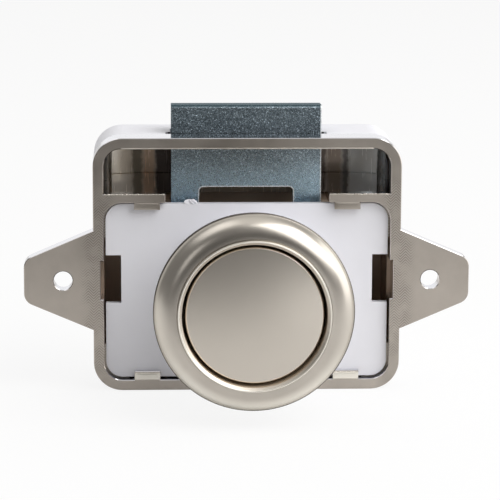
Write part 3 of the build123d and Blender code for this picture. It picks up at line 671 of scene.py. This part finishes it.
HIGHLIGHT_LINE_DEPTH = 6.1 * MM
CROWN_EDGE = 0.1 * MM
CROWN_SHARE = 0.75
PAINTED_CROWN_REFLECTION = (0.05, 0.085, 0.10)
PAINTED_EDGE_HIGHLIGHT = (0.90, 0.94, 0.96)
PAINTED_LOW_REFLECTION = (0.46, 0.65, 0.79)


def zinc_plate(name):
    """Blue zinc on rolled sheet: dark with small bright crystals, each a little tilted.

    It is painted lighter and bluer low down and darker higher up, with a dark painted reflection
    over its bend and painted highlights round the cutout and along the right edge."""
    material, tree, shader, place = new_finish(name)
    shader.inputs["Specular Tint"].default_value = ZINC_TINT
    crystals = add_node(tree, "TexVoronoi", {"Scale": CRYSTAL_SCALE})
    tree.links.new(place, crystals.inputs["Vector"])
    spread = add_node(tree, "SeparateColor")
    tree.links.new(crystals.outputs["Color"], spread.inputs["Color"])
    speck = remap(tree, spread.outputs["Red"], 0.0, 1.0, SPECK_START, 1.0)
    # Painted glints on the brightest crystals.
    painted_glint = remap(tree, spread.outputs["Red"], 0.0, 1.0, PAINTED_GLINT_START, 1.0)
    clouds = noise(tree, place, ZINC_CLOUD_SCALE)
    across, away, upward = axes_of(tree, place)
    # Painted shade: the ground is darker higher up and lighter low down.
    low = remap(tree, upward, 1.0, 0.0, CLOUDS_LOW, CLOUDS_HIGH)
    upper_shade = product(tree, clouds, PAINTED_UPPER_SHADE_SHARE)
    ground = mixed(tree, low, upper_shade, remap(tree, clouds, *CLOUD_LEVELS))
    brightness = product(tree, ground, GROUND_SHARE)
    for spots, share in ((speck, SPECK_SHARE), (painted_glint, PAINTED_GLINT_SHARE)):
        brightness = calculate(tree, "ADD", brightness, product(tree, spots, share))
    colour = mixed(tree, brightness, *ZINC_TONES)
    # Painted reflection: lighter and bluer low down.
    low_reflection_share = remap(tree, upward, PAINTED_LOW_REFLECTION_SHARE, 0.0, PAINTED_LOW_REFLECTION_FULL, PAINTED_LOW_REFLECTION_END, soft=True)
    colour = mixed(tree, low_reflection_share, colour, PAINTED_LOW_REFLECTION)
    from_cutout = beyond_core(
        tree, across, upward, CUTOUT_HALF - CUTOUT_RADIUS, CUTOUT_TOP - CUTOUT_RADIUS
    )
    # Painted dark reflection over the bend at the top.
    crown_reflection_share = remap(tree, upward, 0.0, CROWN_SHARE, LATCH_TOP_BAND, LATCH_TOP_BAND + CROWN_EDGE)
    colour = mixed(tree, crown_reflection_share, colour, PAINTED_CROWN_REFLECTION)
    # Painted highlights along the cutout and the right edge, less metallic so that they stay
    # bright.
    lip = calculate(tree, "LESS_THAN", from_cutout, CUTOUT_RADIUS + HIGHLIGHT_LINE_WIDTH)
    side = calculate(tree, "GREATER_THAN", across, LATCH_HALF - HIGHLIGHT_LINE_WIDTH)
    edge_highlight_share = product(
        tree, calculate(tree, "MAXIMUM", lip, side),
        calculate(tree, "LESS_THAN", away, HIGHLIGHT_LINE_DEPTH),
    )
    colour = mixed(tree, edge_highlight_share, colour, PAINTED_EDGE_HIGHLIGHT)
    tree.links.new(remap(tree, edge_highlight_share, 1.0, ZINC_METALLIC), shader.inputs["Metallic"])
    rough = remap(tree, spread.outputs["Blue"], *CRYSTAL_ROUGHNESS)
    height = spread.outputs["Green"]
    dress(tree, shader, colour, rough, height, CRYSTAL_DEPTH, CRYSTAL_STRENGTH)
    return material


zinc_sheet = zinc_plate("zinc_sheet")
print("crystals about", round(1 / CRYSTAL_SCALE / MM, 2), "mm across")

# %% [markdown]
# ## Turned, drawn and cast metal inside
# A lathe or a drawing die leaves fine lines along its way, which a noise stretched the
# same way shows. Cast zinc and plated screws have an even noise. One function makes them.

# %% Turned, drawn and cast metal
DARKER_SHARE = 0.86
LINE_DEPTH = 0.003 * MM
LINE_SPREAD = (0.8, 1.3)


def drawn_metal(name, colour, roughness, stretch):
    """Bright metal with fine lines along the way it was rolled, turned or drawn."""
    material, tree, shader, place = new_finish(name)
    shader.inputs["Metallic"].default_value = 1.0
    lines = noise(tree, stretched(tree, place, stretch), 1.0, detail=3.0)
    darker = tuple(DARKER_SHARE * value for value in colour)
    limits = [roughness * share for share in LINE_SPREAD]
    rough = remap(tree, lines, *limits, *NOISE_RANGE)
    dress(tree, shader, mixed(tree, lines, darker, colour), rough, lines, LINE_DEPTH)
    return material


sleeve_brass = drawn_metal("sleeve_brass", (0.66, 0.62, 0.54), 0.24, (400, 9000, 400))
fastener_zinc = drawn_metal("fastener_zinc", (0.60, 0.62, 0.64), 0.30, (3000, 3000, 3000))
ground_steel = drawn_metal("ground_steel", (0.55, 0.55, 0.56), 0.22, (500, 8000, 500))
raw_zinc = drawn_metal("raw_zinc", (0.42, 0.43, 0.44), 0.45, (2500, 2500, 2500))
spring_steel = drawn_metal("spring_steel", (0.45, 0.45, 0.46), 0.28, (6000, 6000, 6000))
print("inner metals:", sleeve_brass.name, fastener_zinc.name, ground_steel.name)

# %% [markdown]
# ## Sprung sheet of the liner
# The liner is polished sheet that mirrors the brown and dark inside of the body as
# upright bands. A mirror there would need the whole workshop round it, so the bands are
# laid in its colour, with edges that sway a little, over fine rolling lines.

# %% Sprung sheet of the liner
LINER_METALLIC = 0.4
LINER_ROUGHNESS = (0.16, 0.30)
LINER_STRETCH = (2600, 2600, 140)
BAND_SWAY_SCALE = 900.0
BAND_EDGE = 0.5 * MM
LINER_REFLECTION_BANDS = (
    # from and to along X in mm, colour
    (-27.0, -24.8, (0.10, 0.09, 0.08)),
    (-20.6, -18.6, (0.28, 0.25, 0.20)),
    (-18.6, -16.4, (0.72, 0.54, 0.40)),
    (-16.4, -11.5, (0.09, 0.07, 0.06)),
    (-11.5, 11.5, (0.60, 0.47, 0.36)),
    (11.5, 15.2, (0.19, 0.15, 0.125)),
    (15.2, 18.0, (0.36, 0.29, 0.235)),
    (18.0, 19.3, (0.22, 0.21, 0.20)),
    (19.3, 24.8, (0.78, 0.81, 0.82)),
    (24.8, 27.0, (0.10, 0.10, 0.105)),
)


def sprung_sheet(name, ground):
    """Rolled sheet with upright bands of painted reflection, darker towards the latch, whose
    edges sway with a noise.
    """
    material, tree, shader, place = new_finish(name)
    shader.inputs["Metallic"].default_value = LINER_METALLIC
    lines = noise(tree, stretched(tree, place, LINER_STRETCH), 1.0, detail=3.0)
    band_sway = noise(tree, place, BAND_SWAY_SCALE)
    across = axes_of(tree, place)[0]
    swayed = calculate(tree, "ADD", across, remap(tree, band_sway, -BAND_EDGE, BAND_EDGE))
    colour = mixed(tree, lines, tuple(DARKER_SHARE * value for value in ground), ground)
    # Each band paints a reflection into the colour.
    for low, high, tone in LINER_REFLECTION_BANDS:
        share = band(tree, swayed, low * MM, high * MM, BAND_EDGE)
        colour = mixed(tree, share, colour, tone)
    rough = remap(tree, lines, *LINER_ROUGHNESS, *NOISE_RANGE)
    dress(tree, shader, colour, rough, lines, LINE_DEPTH)
    return material


liner_steel = sprung_sheet("liner_steel", (0.90, 0.83, 0.73))
print("liner bands:", len(LINER_REFLECTION_BANDS))

# %% [markdown]
# ## Bearing plastic and rubber
# The bushes and the catch's track are an off-white bearing plastic, and the stop is
# rubber. Both are plain mouldings, so faint clouds and a fine grain are enough.

# %% Bearing plastic and rubber
MOULD_CLOUD_SCALE = 200.0
MOULD_GRAIN_SCALE = 4000.0
MOULD_GRAIN_DEPTH = 0.006 * MM
MOULD_SPREAD = (0.85, 1.15)


def plain_moulding(name, first, second, roughness):
    """A moulded inner part with faint clouds and a fine grain."""
    material, tree, shader, place = new_finish(name)
    clouds = noise(tree, place, MOULD_CLOUD_SCALE)
    grain = noise(tree, place, MOULD_GRAIN_SCALE, detail=2.0)
    colour = mixed(tree, clouds, first, second)
    rough = remap(tree, clouds, *[roughness * share for share in MOULD_SPREAD])
    dress(tree, shader, colour, rough, grain, MOULD_GRAIN_DEPTH)
    return material


acetal = plain_moulding("acetal", (0.78, 0.76, 0.70), (0.82, 0.80, 0.74), 0.35)
stop_rubber = plain_moulding("stop_rubber", (0.03, 0.03, 0.03), (0.05, 0.05, 0.05), 0.75)
print("mouldings:", acetal.name, stop_rubber.name)

# %% [markdown]
# ## Turned pieces
# The ring and the button are round about one axis, so a lathe is the natural way: one
# profile, carried round that axis. The profile is an array of radius and depth in
# millimetres, and all vertices come from it at once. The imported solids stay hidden
# underneath for the physics.

# %% A lathe
TURN_STEPS = 288


def arc_points(centre, radius, start_deg, end_deg, count):
    """Points on a circle: centre plus radius times cosine and sine of an even sweep."""
    angle = np.radians(np.linspace(start_deg, end_deg, count))
    return np.stack([
        centre[0] + radius * np.cos(angle), centre[1] + radius * np.sin(angle)
    ], axis=1)


def mesh_piece(name, vertices, faces, finish, sharp_deg=28.0):
    """A piece from arrays, smooth except where two faces meet at a steep angle."""
    mesh = bpy.data.meshes.new(name)
    mesh.from_pydata(vertices, [], faces)
    mesh.validate()
    mesh.shade_smooth()
    mesh.set_sharp_from_angle(angle=math.radians(sharp_deg))
    mesh.materials.append(finish)
    piece = bpy.data.objects.new(name, mesh)
    scene.collection.objects.link(piece)
    return piece


def round_the_axis(radius, depth, angle):
    """Points and faces of a closed profile that is carried round the Y axis.

    A point at radius r, depth d and angle a lies at (r cos a, d, r sin a)."""
    x, y, z = np.broadcast_arrays(radius * np.cos(angle), depth, radius * np.sin(angle))
    grid = np.arange(x.size).reshape(x.shape)
    side, onward = np.roll(grid, -1, axis=1), np.roll(grid, -1, axis=0)
    faces = np.stack([grid, side, np.roll(onward, -1, axis=1), onward], axis=-1)
    return np.stack([x, y, z], axis=-1).reshape(-1, 3), faces.reshape(-1, 4)


def turned(name, profile, finish):
    """A piece from a profile of (radius, depth) in mm, carried round the Y axis."""
    angle = np.linspace(0, 2 * np.pi, TURN_STEPS, endpoint=False)
    points, faces = round_the_axis(profile[:, 0:1], profile[:, 1:2], angle)
    return mesh_piece(name, points * MM, faces, finish)


# %% Rosette ring
RING_RADIUS = 17.10
RING_RIM_FRONT = -27.45
RING_BACK = -26.50
RING_CHAMFER = 0.25
SPIGOT_RADIUS = 12.80
SPIGOT_BACK = -17.20
THREAD_HOLE = 11.25
THREAD_FRONT = -20.60
BORE_RADIUS = 12.30
BORE_FRONT = -30.62
LIP_CENTRE = (12.84, -30.96)
LIP_RADIUS = 0.14
LIP_FOOT = (13.14, -30.35)
DOME_CENTRE = (13.26, -26.538)
DOME_RADIUS = 3.812
# The profile goes from the rim to the back, round the spigot and the bore, and over the
# lip and the dome.
RING_PROFILE = np.concatenate([
    [(RING_RADIUS, RING_RIM_FRONT), (RING_RADIUS, RING_BACK - RING_CHAMFER)],
    [(RING_RADIUS - RING_CHAMFER, RING_BACK), (SPIGOT_RADIUS, RING_BACK)],
    [(SPIGOT_RADIUS, SPIGOT_BACK), (THREAD_HOLE, SPIGOT_BACK), (THREAD_HOLE, THREAD_FRONT)],
    [(BORE_RADIUS, THREAD_FRONT), (BORE_RADIUS, BORE_FRONT)],
    arc_points(LIP_CENTRE, LIP_RADIUS, 190, 360, 13),
    [LIP_FOOT],
    arc_points(DOME_CENTRE, DOME_RADIUS, 270, 346, 40)[:-1],
])
ring_shell = turned("ring_shell", RING_PROFILE[::-1], ring_nickel)
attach(ring_shell, "housing")
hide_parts("rosette_ring")
print("ring points:", len(RING_PROFILE) * TURN_STEPS)

# %% Button cap
FACE_DEPTH = -29.90
DOME_RISE = 0.25
CAP_RADIUS = 11.70
CAP_BACK = -22.20
CAP_INNER = 10.30
CAP_FLOOR = -28.30
BOSS_RADIUS = 5.20
BOSS_BACK = -22.00
BOSS_HOLE = 3.55
HOLE_FLOOR = -27.80
EDGE_RADIUS = 0.32
AXIS_RADIUS = 0.002
# The face is domed as a parabola: the rise is one minus the square of the share of reach.
dome_reach = np.linspace(AXIS_RADIUS, CAP_RADIUS - EDGE_RADIUS, 40)
dome_share = dome_reach / (CAP_RADIUS - EDGE_RADIUS)
BUTTON_PROFILE = np.concatenate([
    np.stack([dome_reach, FACE_DEPTH - DOME_RISE * (1 - dome_share ** 2)], axis=1),
    arc_points((CAP_RADIUS - EDGE_RADIUS, FACE_DEPTH + EDGE_RADIUS), EDGE_RADIUS, -90, 0, 12)[1:],
    [(CAP_RADIUS, CAP_BACK), (CAP_INNER, CAP_BACK), (CAP_INNER, CAP_FLOOR)],
    [(BOSS_RADIUS, CAP_FLOOR), (BOSS_RADIUS, BOSS_BACK), (BOSS_HOLE, BOSS_BACK)],
    [(BOSS_HOLE, HOLE_FLOOR), (AXIS_RADIUS, HOLE_FLOOR)],
])
button_shell = turned("button_shell", BUTTON_PROFILE[::-1], button_nickel)
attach(button_shell, "button")
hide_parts("button_cap")
print("button points:", len(BUTTON_PROFILE) * TURN_STEPS)

# %% [markdown]
# ## Bent steel liner
# The liner is a springy sheet whose back bows forward towards both ends, which is why it
# shows soft upright bands of light and dark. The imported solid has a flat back, so this
# piece carries a section with bowed ends up the same height. A section of inner and
# outer points is repeated for a few heights. The lower band stands a little forward, with
# a fine groove where it starts.

# %% Liner with bowed ends
LINER_SHEET = 0.5 * MM
LINER_DRAFT = 0.5 * MM
LINER_GAP = 0.28 * MM
BOW_START = 17.6 * MM
BOW_ANGLE = 26.0
BOW_POINTS = 30
LINER_SEAM_HEIGHT = 3.7 * MM
LINER_JOGGLE = 0.25 * MM
LINER_SEAM_HALF = 0.10 * MM
LINER_SEAM_GROOVE = 0.4
LINER_ROWS = 12
CASE_CORNER = 3.3 * MM
liner_low, liner_high = (np.array(corner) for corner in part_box("steel_liner"))


def liner_sections():
    """Inner and outer points of the sheet's section, from the right front to the left.

    A bowed end is an arc: its width is R sine of the angle, its rise R less R cosine."""
    front, back = liner_low[1], liner_high[1]
    inner_back = back - LINER_SHEET
    half_front, half_back = liner_high[0], liner_high[0] - LINER_DRAFT
    bow_end = half_back - LINER_SHEET - LINER_GAP
    angle = np.radians(np.linspace(BOW_ANGLE, 0, BOW_POINTS))
    radius = (bow_end - BOW_START) / math.sin(math.radians(BOW_ANGLE))
    bow_x = BOW_START + radius * np.sin(angle)
    bow_y = inner_back - radius * (1 - np.cos(angle))
    inner_x = np.concatenate([
        [half_front - LINER_SHEET, half_back - LINER_SHEET, bow_end + 0.2 * LINER_GAP],
        bow_x, [0.5 * BOW_START],
    ])
    inner_y = np.concatenate([[front, inner_back, inner_back], bow_y, [inner_back]])
    outer_x = np.concatenate([[half_front, half_back], inner_x[2:]])
    outer_y = np.concatenate([[front], np.full(len(inner_x) - 1, back)])
    halves = [np.stack([inner_x, inner_y], axis=1), np.stack([outer_x, outer_y], axis=1)]
    return [np.concatenate([half, half[::-1] * (-1, 1)]) for half in halves]


def tube_walls(grid):
    """Faces between neighbouring rows of a grid whose rows are closed loops."""
    side = np.roll(grid, -1, axis=1)
    return np.stack([grid[:-1], side[:-1], side[1:], grid[1:]], axis=-1).reshape(-1, 4)


def upright_sheet(name, outer, inner, heights, forward, finish):
    """Carries a section of outer and inner points up a row of heights, and closes it.

    Near the case's round corner of radius R, a point at s into it lies R less the root
    of R squared less s squared lower."""
    count = len(outer)
    loop = np.concatenate([outer, inner[::-1]])
    rows = len(heights)
    points = np.empty((rows, 2 * count, 3))
    points[:, :, 0] = loop[None, :, 0]
    points[:, :, 1] = loop[None, :, 1] - forward[:, None]
    side = np.abs(points[:, :, 0]) - (liner_high[0] - CASE_CORNER)
    fall = CASE_CORNER - np.sqrt(np.clip(CASE_CORNER ** 2 - np.clip(side, 0, None) ** 2, 0, None))
    points[:, :, 2] = np.minimum(heights[:, None], liner_high[2] - fall)
    grid = np.arange(rows * 2 * count).reshape(rows, 2 * count)
    facing = grid[:, ::-1]
    low = np.stack([grid[0, :count - 1], facing[0, :count - 1],
                    facing[0, 1:count], grid[0, 1:count]], axis=-1)
    high = np.stack([grid[-1, :count - 1], grid[-1, 1:count],
                     facing[-1, 1:count], facing[-1, :count - 1]], axis=-1)
    faces = np.concatenate([tube_walls(grid), low, high])
    return mesh_piece(name, points.reshape(-1, 3), faces, finish)


seam = liner_low[2] + LINER_SEAM_HEIGHT
liner_heights = np.concatenate([
    [liner_low[2], seam - LINER_SEAM_HALF, seam, seam + LINER_SEAM_HALF],
    np.linspace(seam + LINER_SEAM_HALF, liner_high[2], LINER_ROWS)[1:],
])
liner_forward = np.where(liner_heights < seam - 0.5 * LINER_SEAM_HALF, LINER_JOGGLE, 0.0)
liner_forward[2] = -LINER_SEAM_GROOVE * LINER_JOGGLE
liner_inner, liner_outer = liner_sections()
liner_shell = upright_sheet(
    "liner_shell", liner_outer, liner_inner, liner_heights, liner_forward, liner_steel
)
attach(liner_shell, "housing")
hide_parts("steel_liner")
print("liner points:", len(liner_shell.data.vertices))

# %% [markdown]
# ## Latch
# The latch's shape is right, but its top is a bent flange that slopes down a little to
# the back on the real one, and its upright front edges are broken a little more. A
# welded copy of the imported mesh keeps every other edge, and one formula lowers the
# flange: the further back a point lies, the more it drops.

# %% Latch with a sloping flange
FLANGE_START = 6.4 * MM
FLANGE_FLOOR = 24.2 * MM
FLANGE_SLOPE = math.tan(math.radians(2.9))
WELD_STEP = 0.001 * MM
PACKED_EDGE = 0.12 * MM
BROKEN_EDGE = 0.24 * MM


def welded(name):
    """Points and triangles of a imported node, with equal points made one."""
    mesh = nodes_by_name[name].data
    points = np.empty(len(mesh.vertices) * 3)
    mesh.vertices.foreach_get("co", points)
    mesh.calc_loop_triangles()
    corners = np.empty(len(mesh.loop_triangles) * 3, np.int32)
    mesh.loop_triangles.foreach_get("vertices", corners)
    rounded = np.round(points.reshape(-1, 3) / WELD_STEP).astype(np.int64)
    unique, same = np.unique(rounded, axis=0, return_inverse=True)
    triangles = same.reshape(-1)[corners].reshape(-1, 3)
    distinct = (triangles != np.roll(triangles, 1, axis=1)).all(axis=1)
    return unique * WELD_STEP, triangles[distinct]


latch_points, latch_triangles = welded("latch_bolt")
behind_bend = np.clip(latch_points[:, 1] - FLANGE_START, 0, None)
latch_points[:, 2] -= np.where(latch_points[:, 2] > FLANGE_FLOOR, behind_bend * FLANGE_SLOPE, 0)
# An upright front edge is broken by moving its two rows of points away from the corner.
half_width = latch_points[:, 0].max()
front_plane = latch_points[:, 1].min()
from_side = half_width - np.abs(latch_points[:, 0])
on_front = (latch_points[:, 1] < front_plane + WELD_STEP) & (from_side < 2 * PACKED_EDGE)
on_side = (latch_points[:, 1] < front_plane + 2 * PACKED_EDGE) & (from_side < WELD_STEP)
latch_points[on_front, 0] -= np.sign(latch_points[on_front, 0]) * (BROKEN_EDGE - PACKED_EDGE)
latch_points[on_side & ~on_front, 1] = front_plane + BROKEN_EDGE
latch_shell = mesh_piece("latch_shell", latch_points, latch_triangles, zinc_sheet)
even_shading = latch_shell.modifiers.new("even_shading", "WEIGHTED_NORMAL")
even_shading.keep_sharp = True
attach(latch_shell, "latch")
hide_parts("latch_bolt")
print("latch triangles:", len(latch_triangles))

# %% [markdown]
# ## Threaded sleeve
# The ring screws onto a fine thread. A helix needs no separate turns: on a tube's grid
# the radius falls and rises with the depth less the angle, so one wave winds round it.

# %% Sleeve with its thread
SLEEVE_RADIUS = 11.2 * MM
SLEEVE_BORE = 9.7 * MM
THREAD_PITCH = 1.0 * MM
THREAD_DEPTH = 0.42 * MM
THREAD_RUNOUT = 1.2 * MM
THREAD_STEPS_PER_PITCH = 8
THREAD_STEPS_ROUND = 192
THREAD_STEEPNESS = 1.3
CREST_SHARE = 0.15
THREAD_END_SHARE = 0.5
sleeve_low, sleeve_high = (np.array(corner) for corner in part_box("threaded_sleeve"))


def threaded_tube(name, finish):
    """Outside radius is R minus depth times a triangle wave of depth along less angle.

    The wave is a little too tall and is cut off, so the crests and roots are flat. It
    fades out at both ends, where the tube's edge is broken by a share of the depth."""
    turns = (sleeve_high[1] - sleeve_low[1]) / THREAD_PITCH
    depth = np.linspace(sleeve_low[1], sleeve_high[1], int(turns * THREAD_STEPS_PER_PITCH))
    angle = np.linspace(0, 2 * np.pi, THREAD_STEPS_ROUND, endpoint=False)
    phase = depth[:, None] / THREAD_PITCH - angle[None, :] / (2 * np.pi)
    wave = np.clip(THREAD_STEEPNESS * np.abs(2 * (phase % 1) - 1) - CREST_SHARE, 0, 1)
    from_end = np.minimum(depth - depth[0], depth[-1] - depth)
    fade = np.clip(from_end / THREAD_RUNOUT, 0.0, 1.0)[:, None]
    cut = wave * fade + THREAD_END_SHARE * (1 - fade) ** 2
    outer = SLEEVE_RADIUS - THREAD_DEPTH * cut
    radius = np.concatenate([outer, np.full((2, len(angle)), SLEEVE_BORE)])
    along = np.concatenate([depth, [depth[-1], depth[0]]])
    points, faces = round_the_axis(radius, along[:, None], angle)
    # The tube's profile runs the other way round, so its faces are turned over.
    outward = faces[:, [0, 3, 2, 1]]
    return mesh_piece(name, points, outward, finish, sharp_deg=40.0)


sleeve_shell = threaded_tube("sleeve_shell", sleeve_brass)
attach(sleeve_shell, "housing")
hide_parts("threaded_sleeve")
print("sleeve points:", len(sleeve_shell.data.vertices))

# %% [markdown]
# ## Ejector spring
# The spring is seated in the case and pushes on the button's stem, so it grows as the button
# comes out. A welded copy of the imported spring takes its place.

# %% Welded copy of the spring
spring_shell = mesh_piece("spring_shell", *welded("ejector_spring"), spring_steel)
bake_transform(spring_shell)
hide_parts("ejector_spring")

# %% [markdown]
# ## Marks of casting on the frame
# Metal that crept between the halves of the mould leaves flash along the shelf's upper
# edge and the lower tabs, and a finer line under the top rim. The four small tabs are
# slightly pillowed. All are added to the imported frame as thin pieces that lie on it.

# %% Flash and edge beads
SHELF_TOP = 15.65 * MM
SHELF_INNER = 14.72 * MM
SHELF_OUTER = 25.6 * MM
FLASH_RADIUS = 0.13 * MM
WINDOW_TOP = 23.85 * MM
WINDOW_HALF = 22.6 * MM
EDGE_BEAD_RADIUS = 0.12 * MM
TAB_INNER = 15.70 * MM
TAB_OUTER = 20.20 * MM
TAB_EDGE_HEIGHT = -17.12 * MM
TAB_EDGE_RADIUS = 0.10 * MM
BEAD_STEPS = 160
BEAD_SIDES = 12
BEAD_SWELL = 0.30
BEAD_WANDER = 0.02 * MM
BEAD_LIMITS = (0.45, 1.5)
SWELL_SMOOTH = 4
WANDER_SMOOTH = 5
BEAD_SINK = 0.04 * MM
BEAD_SEAT = 0.3
BEAD_END = 0.05
shaker = np.random.default_rng(7)


def wavy(count, size, smooth):
    """Smooth random values: noise averaged over its neighbours."""
    rough = shaker.normal(0, 1, count + smooth)
    window = np.ones(smooth) / math.sqrt(smooth)
    return size * np.convolve(rough, window, mode="same")[:count]


def capped_tube(name, points, finish, sharp_deg):
    """A piece from rows of points, each row a closed loop, with its two ends closed."""
    grid = np.arange(points[..., 0].size).reshape(points.shape[:2])
    faces = tube_walls(grid).tolist() + [grid[0, ::-1].tolist(), grid[-1].tolist()]
    return mesh_piece(name, points.reshape(-1, 3), faces, finish, sharp_deg)


def edge_bead(name, start, end, height, size, roughness):
    """A thin bead along X: its radius and its height shift by smooth random values.

    A point at angle a lies r cos a back and r sin a up from the bead's line."""
    across = np.linspace(start, end, BEAD_STEPS)
    swell = wavy(BEAD_STEPS, BEAD_SWELL * roughness, SWELL_SMOOTH)
    radius = size * np.clip(1 + swell, *BEAD_LIMITS)
    radius[[0, -1]] = BEAD_END * size
    angle = np.linspace(0, 2 * np.pi, BEAD_SIDES, endpoint=False)
    rise = height + wavy(BEAD_STEPS, BEAD_WANDER * roughness, WANDER_SMOOTH)
    points = np.stack([
        np.broadcast_to(across[:, None], (BEAD_STEPS, BEAD_SIDES)),
        BEAD_SEAT * size + radius[:, None] * np.cos(angle),
        rise[:, None] + radius[:, None] * np.sin(angle),
    ], axis=-1)
    return capped_tube(name, points, bead_nickel, sharp_deg=70.0)


bead_nickel = satin_nickel("bead_nickel", (0.66, 0.62, 0.56), (0.56, 0.52, 0.47), 0.30, 0.40)
BEADS = (
    # name, start, end, height, radius, roughness
    ("flash_right", SHELF_INNER, SHELF_OUTER, SHELF_TOP - BEAD_SINK, FLASH_RADIUS, 0.75),
    ("flash_left", -SHELF_OUTER, -SHELF_INNER, SHELF_TOP - BEAD_SINK, FLASH_RADIUS, 0.75),
    ("window_edge", -WINDOW_HALF, WINDOW_HALF, WINDOW_TOP + BEAD_SINK, EDGE_BEAD_RADIUS, 0.2),
    ("tab_edge_right", TAB_INNER, TAB_OUTER, TAB_EDGE_HEIGHT, TAB_EDGE_RADIUS, 0.8),
    ("tab_edge_left", -TAB_OUTER, -TAB_INNER, TAB_EDGE_HEIGHT, TAB_EDGE_RADIUS, 0.5),
)
for name, start, end, height, size, roughness in BEADS:
    bead = edge_bead(name, start, end, height, size, roughness)
    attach(bead, "housing")
print("edge beads:", len(BEADS))

# %% Pillowed tabs
TAB_OFFSET = 17.95 * MM
TAB_HALF_WIDTH = 2.30 * MM
TAB_HALF_HEIGHT = 0.60 * MM
TAB_RISE = 0.10 * MM
TAB_SEAT = 0.10 * MM
TAB_MIDDLES = (13.47 * MM, -17.70 * MM)
PAD_COLUMNS = 25
PAD_ROWS = 13
tab_nickel = satin_nickel("tab_nickel", (0.44, 0.40, 0.355), (0.34, 0.305, 0.27), 0.40, 0.48)


def tab_pillow(name, middle_x, middle_z):
    """A cushion shape over shares u across and v up, each from minus one to one.

    Its rise is one minus u to the sixth, times one minus v to the fourth."""
    u, v = np.meshgrid(np.linspace(-1, 1, PAD_COLUMNS), np.linspace(-1, 1, PAD_ROWS))
    rise = TAB_RISE * (1 - u ** 6) * (1 - v ** 4)
    front = np.stack([
        middle_x + TAB_HALF_WIDTH * u, -rise, middle_z + TAB_HALF_HEIGHT * v,
    ], axis=-1).reshape(-1, 3)
    back = front * (1, 0, 1) + (0, TAB_SEAT, 0)
    grid = np.arange(PAD_ROWS * PAD_COLUMNS).reshape(PAD_ROWS, PAD_COLUMNS)
    quads = np.stack([
        grid[:-1, :-1], grid[:-1, 1:], grid[1:, 1:], grid[1:, :-1]
    ], axis=-1).reshape(-1, 4)
    rim = np.concatenate([grid[0, :-1], grid[:-1, -1], grid[-1, :0:-1], grid[:0:-1, 0]])
    onward = np.roll(rim, -1)
    count = grid.size
    edge = np.stack([rim, rim + count, onward + count, onward], axis=-1)
    faces = np.concatenate([quads, quads[:, ::-1] + count, edge])
    return mesh_piece(name, np.concatenate([front, back]), faces, tab_nickel, sharp_deg=50.0)


for row, middle_z in enumerate(TAB_MIDDLES):
    for side, middle_x in (("left", -TAB_OFFSET), ("right", TAB_OFFSET)):
        pad = tab_pillow(f"tab_{row}_{side}", middle_x, middle_z)
        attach(pad, "housing")
print("tab pads:", 2 * len(TAB_MIDDLES))

# %% [markdown]
# ## Burr on the plate
# A crumpled grain of white plastic was left on the plate's top edge when it was moulded.
# It is a ball on a grid of latitude and longitude, stretched along the edge, with its
# radius shaken by a few waves. Each wave starts at a random turn.

# %% Burr on the plate's top edge
BURR_MIDDLE = np.array((-10.0, 1.45, 13.95)) * MM
BURR_HALF = np.array((0.95, 0.34, 0.52)) * MM
BURR_WAVES = (
    # waves round, waves along, share of the radius
    (3, 2, 0.20),
    (6, 4, 0.24),
    (11, 7, 0.20),
)
BURR_ROWS = 33
BURR_COLUMNS = 64
BURR_TOP_DEG = 86


def crumpled_grain(name, finish):
    """A ball whose radius is one plus waves of longitude and latitude, calm at its poles.

    Each wave is its share times the sine of m longitudes plus n latitudes plus its turn."""
    latitude = np.radians(np.linspace(-BURR_TOP_DEG, BURR_TOP_DEG, BURR_ROWS))[:, None]
    longitude = np.linspace(0, 2 * np.pi, BURR_COLUMNS, endpoint=False)[None, :]
    radius = np.ones((latitude.size, longitude.size))
    for around, along, share in BURR_WAVES:
        turn = shaker.uniform(0, 2 * np.pi)
        radius += share * np.sin(around * longitude + along * latitude + turn) * np.cos(latitude)
    ball = np.stack([
        radius * np.cos(latitude) * np.cos(longitude),
        radius * np.cos(latitude) * np.sin(longitude),
        radius * np.sin(latitude),
    ], axis=-1)
    return capped_tube(name, BURR_MIDDLE + BURR_HALF * ball, finish, sharp_deg=60.0)


burr = crumpled_grain("plate_burr", moulded_white)
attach(burr, "housing")
print("burr points:", len(burr.data.vertices))

# %% [markdown]
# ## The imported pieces
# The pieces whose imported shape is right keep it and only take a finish. So do the ones
# that a finer surface stands for, so that every piece of the model has its own metal,
# plastic or rubber.

# %% Give each piece its finish
FINISH_OF = {
    "mounting_frame": frame_nickel,
    "rosette_ring": ring_nickel,
    "button_cap": button_nickel,
    "cover_plate": moulded_white,
    "rear_case": case_white,
    "steel_liner": liner_steel,
    "latch_bolt": zinc_sheet,
    "threaded_sleeve": sleeve_brass,
    "stem": sleeve_brass,
    "sleeve_locknut": sleeve_brass,
    "stem_nut": fastener_zinc,
    "cap_nut": fastener_zinc,
    "case_screws": fastener_zinc,
    "cam_pin": ground_steel,
    "guide_posts": ground_steel,
    "spring_pin": ground_steel,
    "carriage": raw_zinc,
    "stem_bushes": acetal,
    "catch_track": acetal,
    "buffer_ring": stop_rubber,
    "ejector_spring": spring_steel,
    "catch_wire": spring_steel,
}
for name, finish in FINISH_OF.items():
    node = nodes_by_name[name]
    for spot in node.material_slots:
        spot.material = finish
print("finished nodes:", len(FINISH_OF))
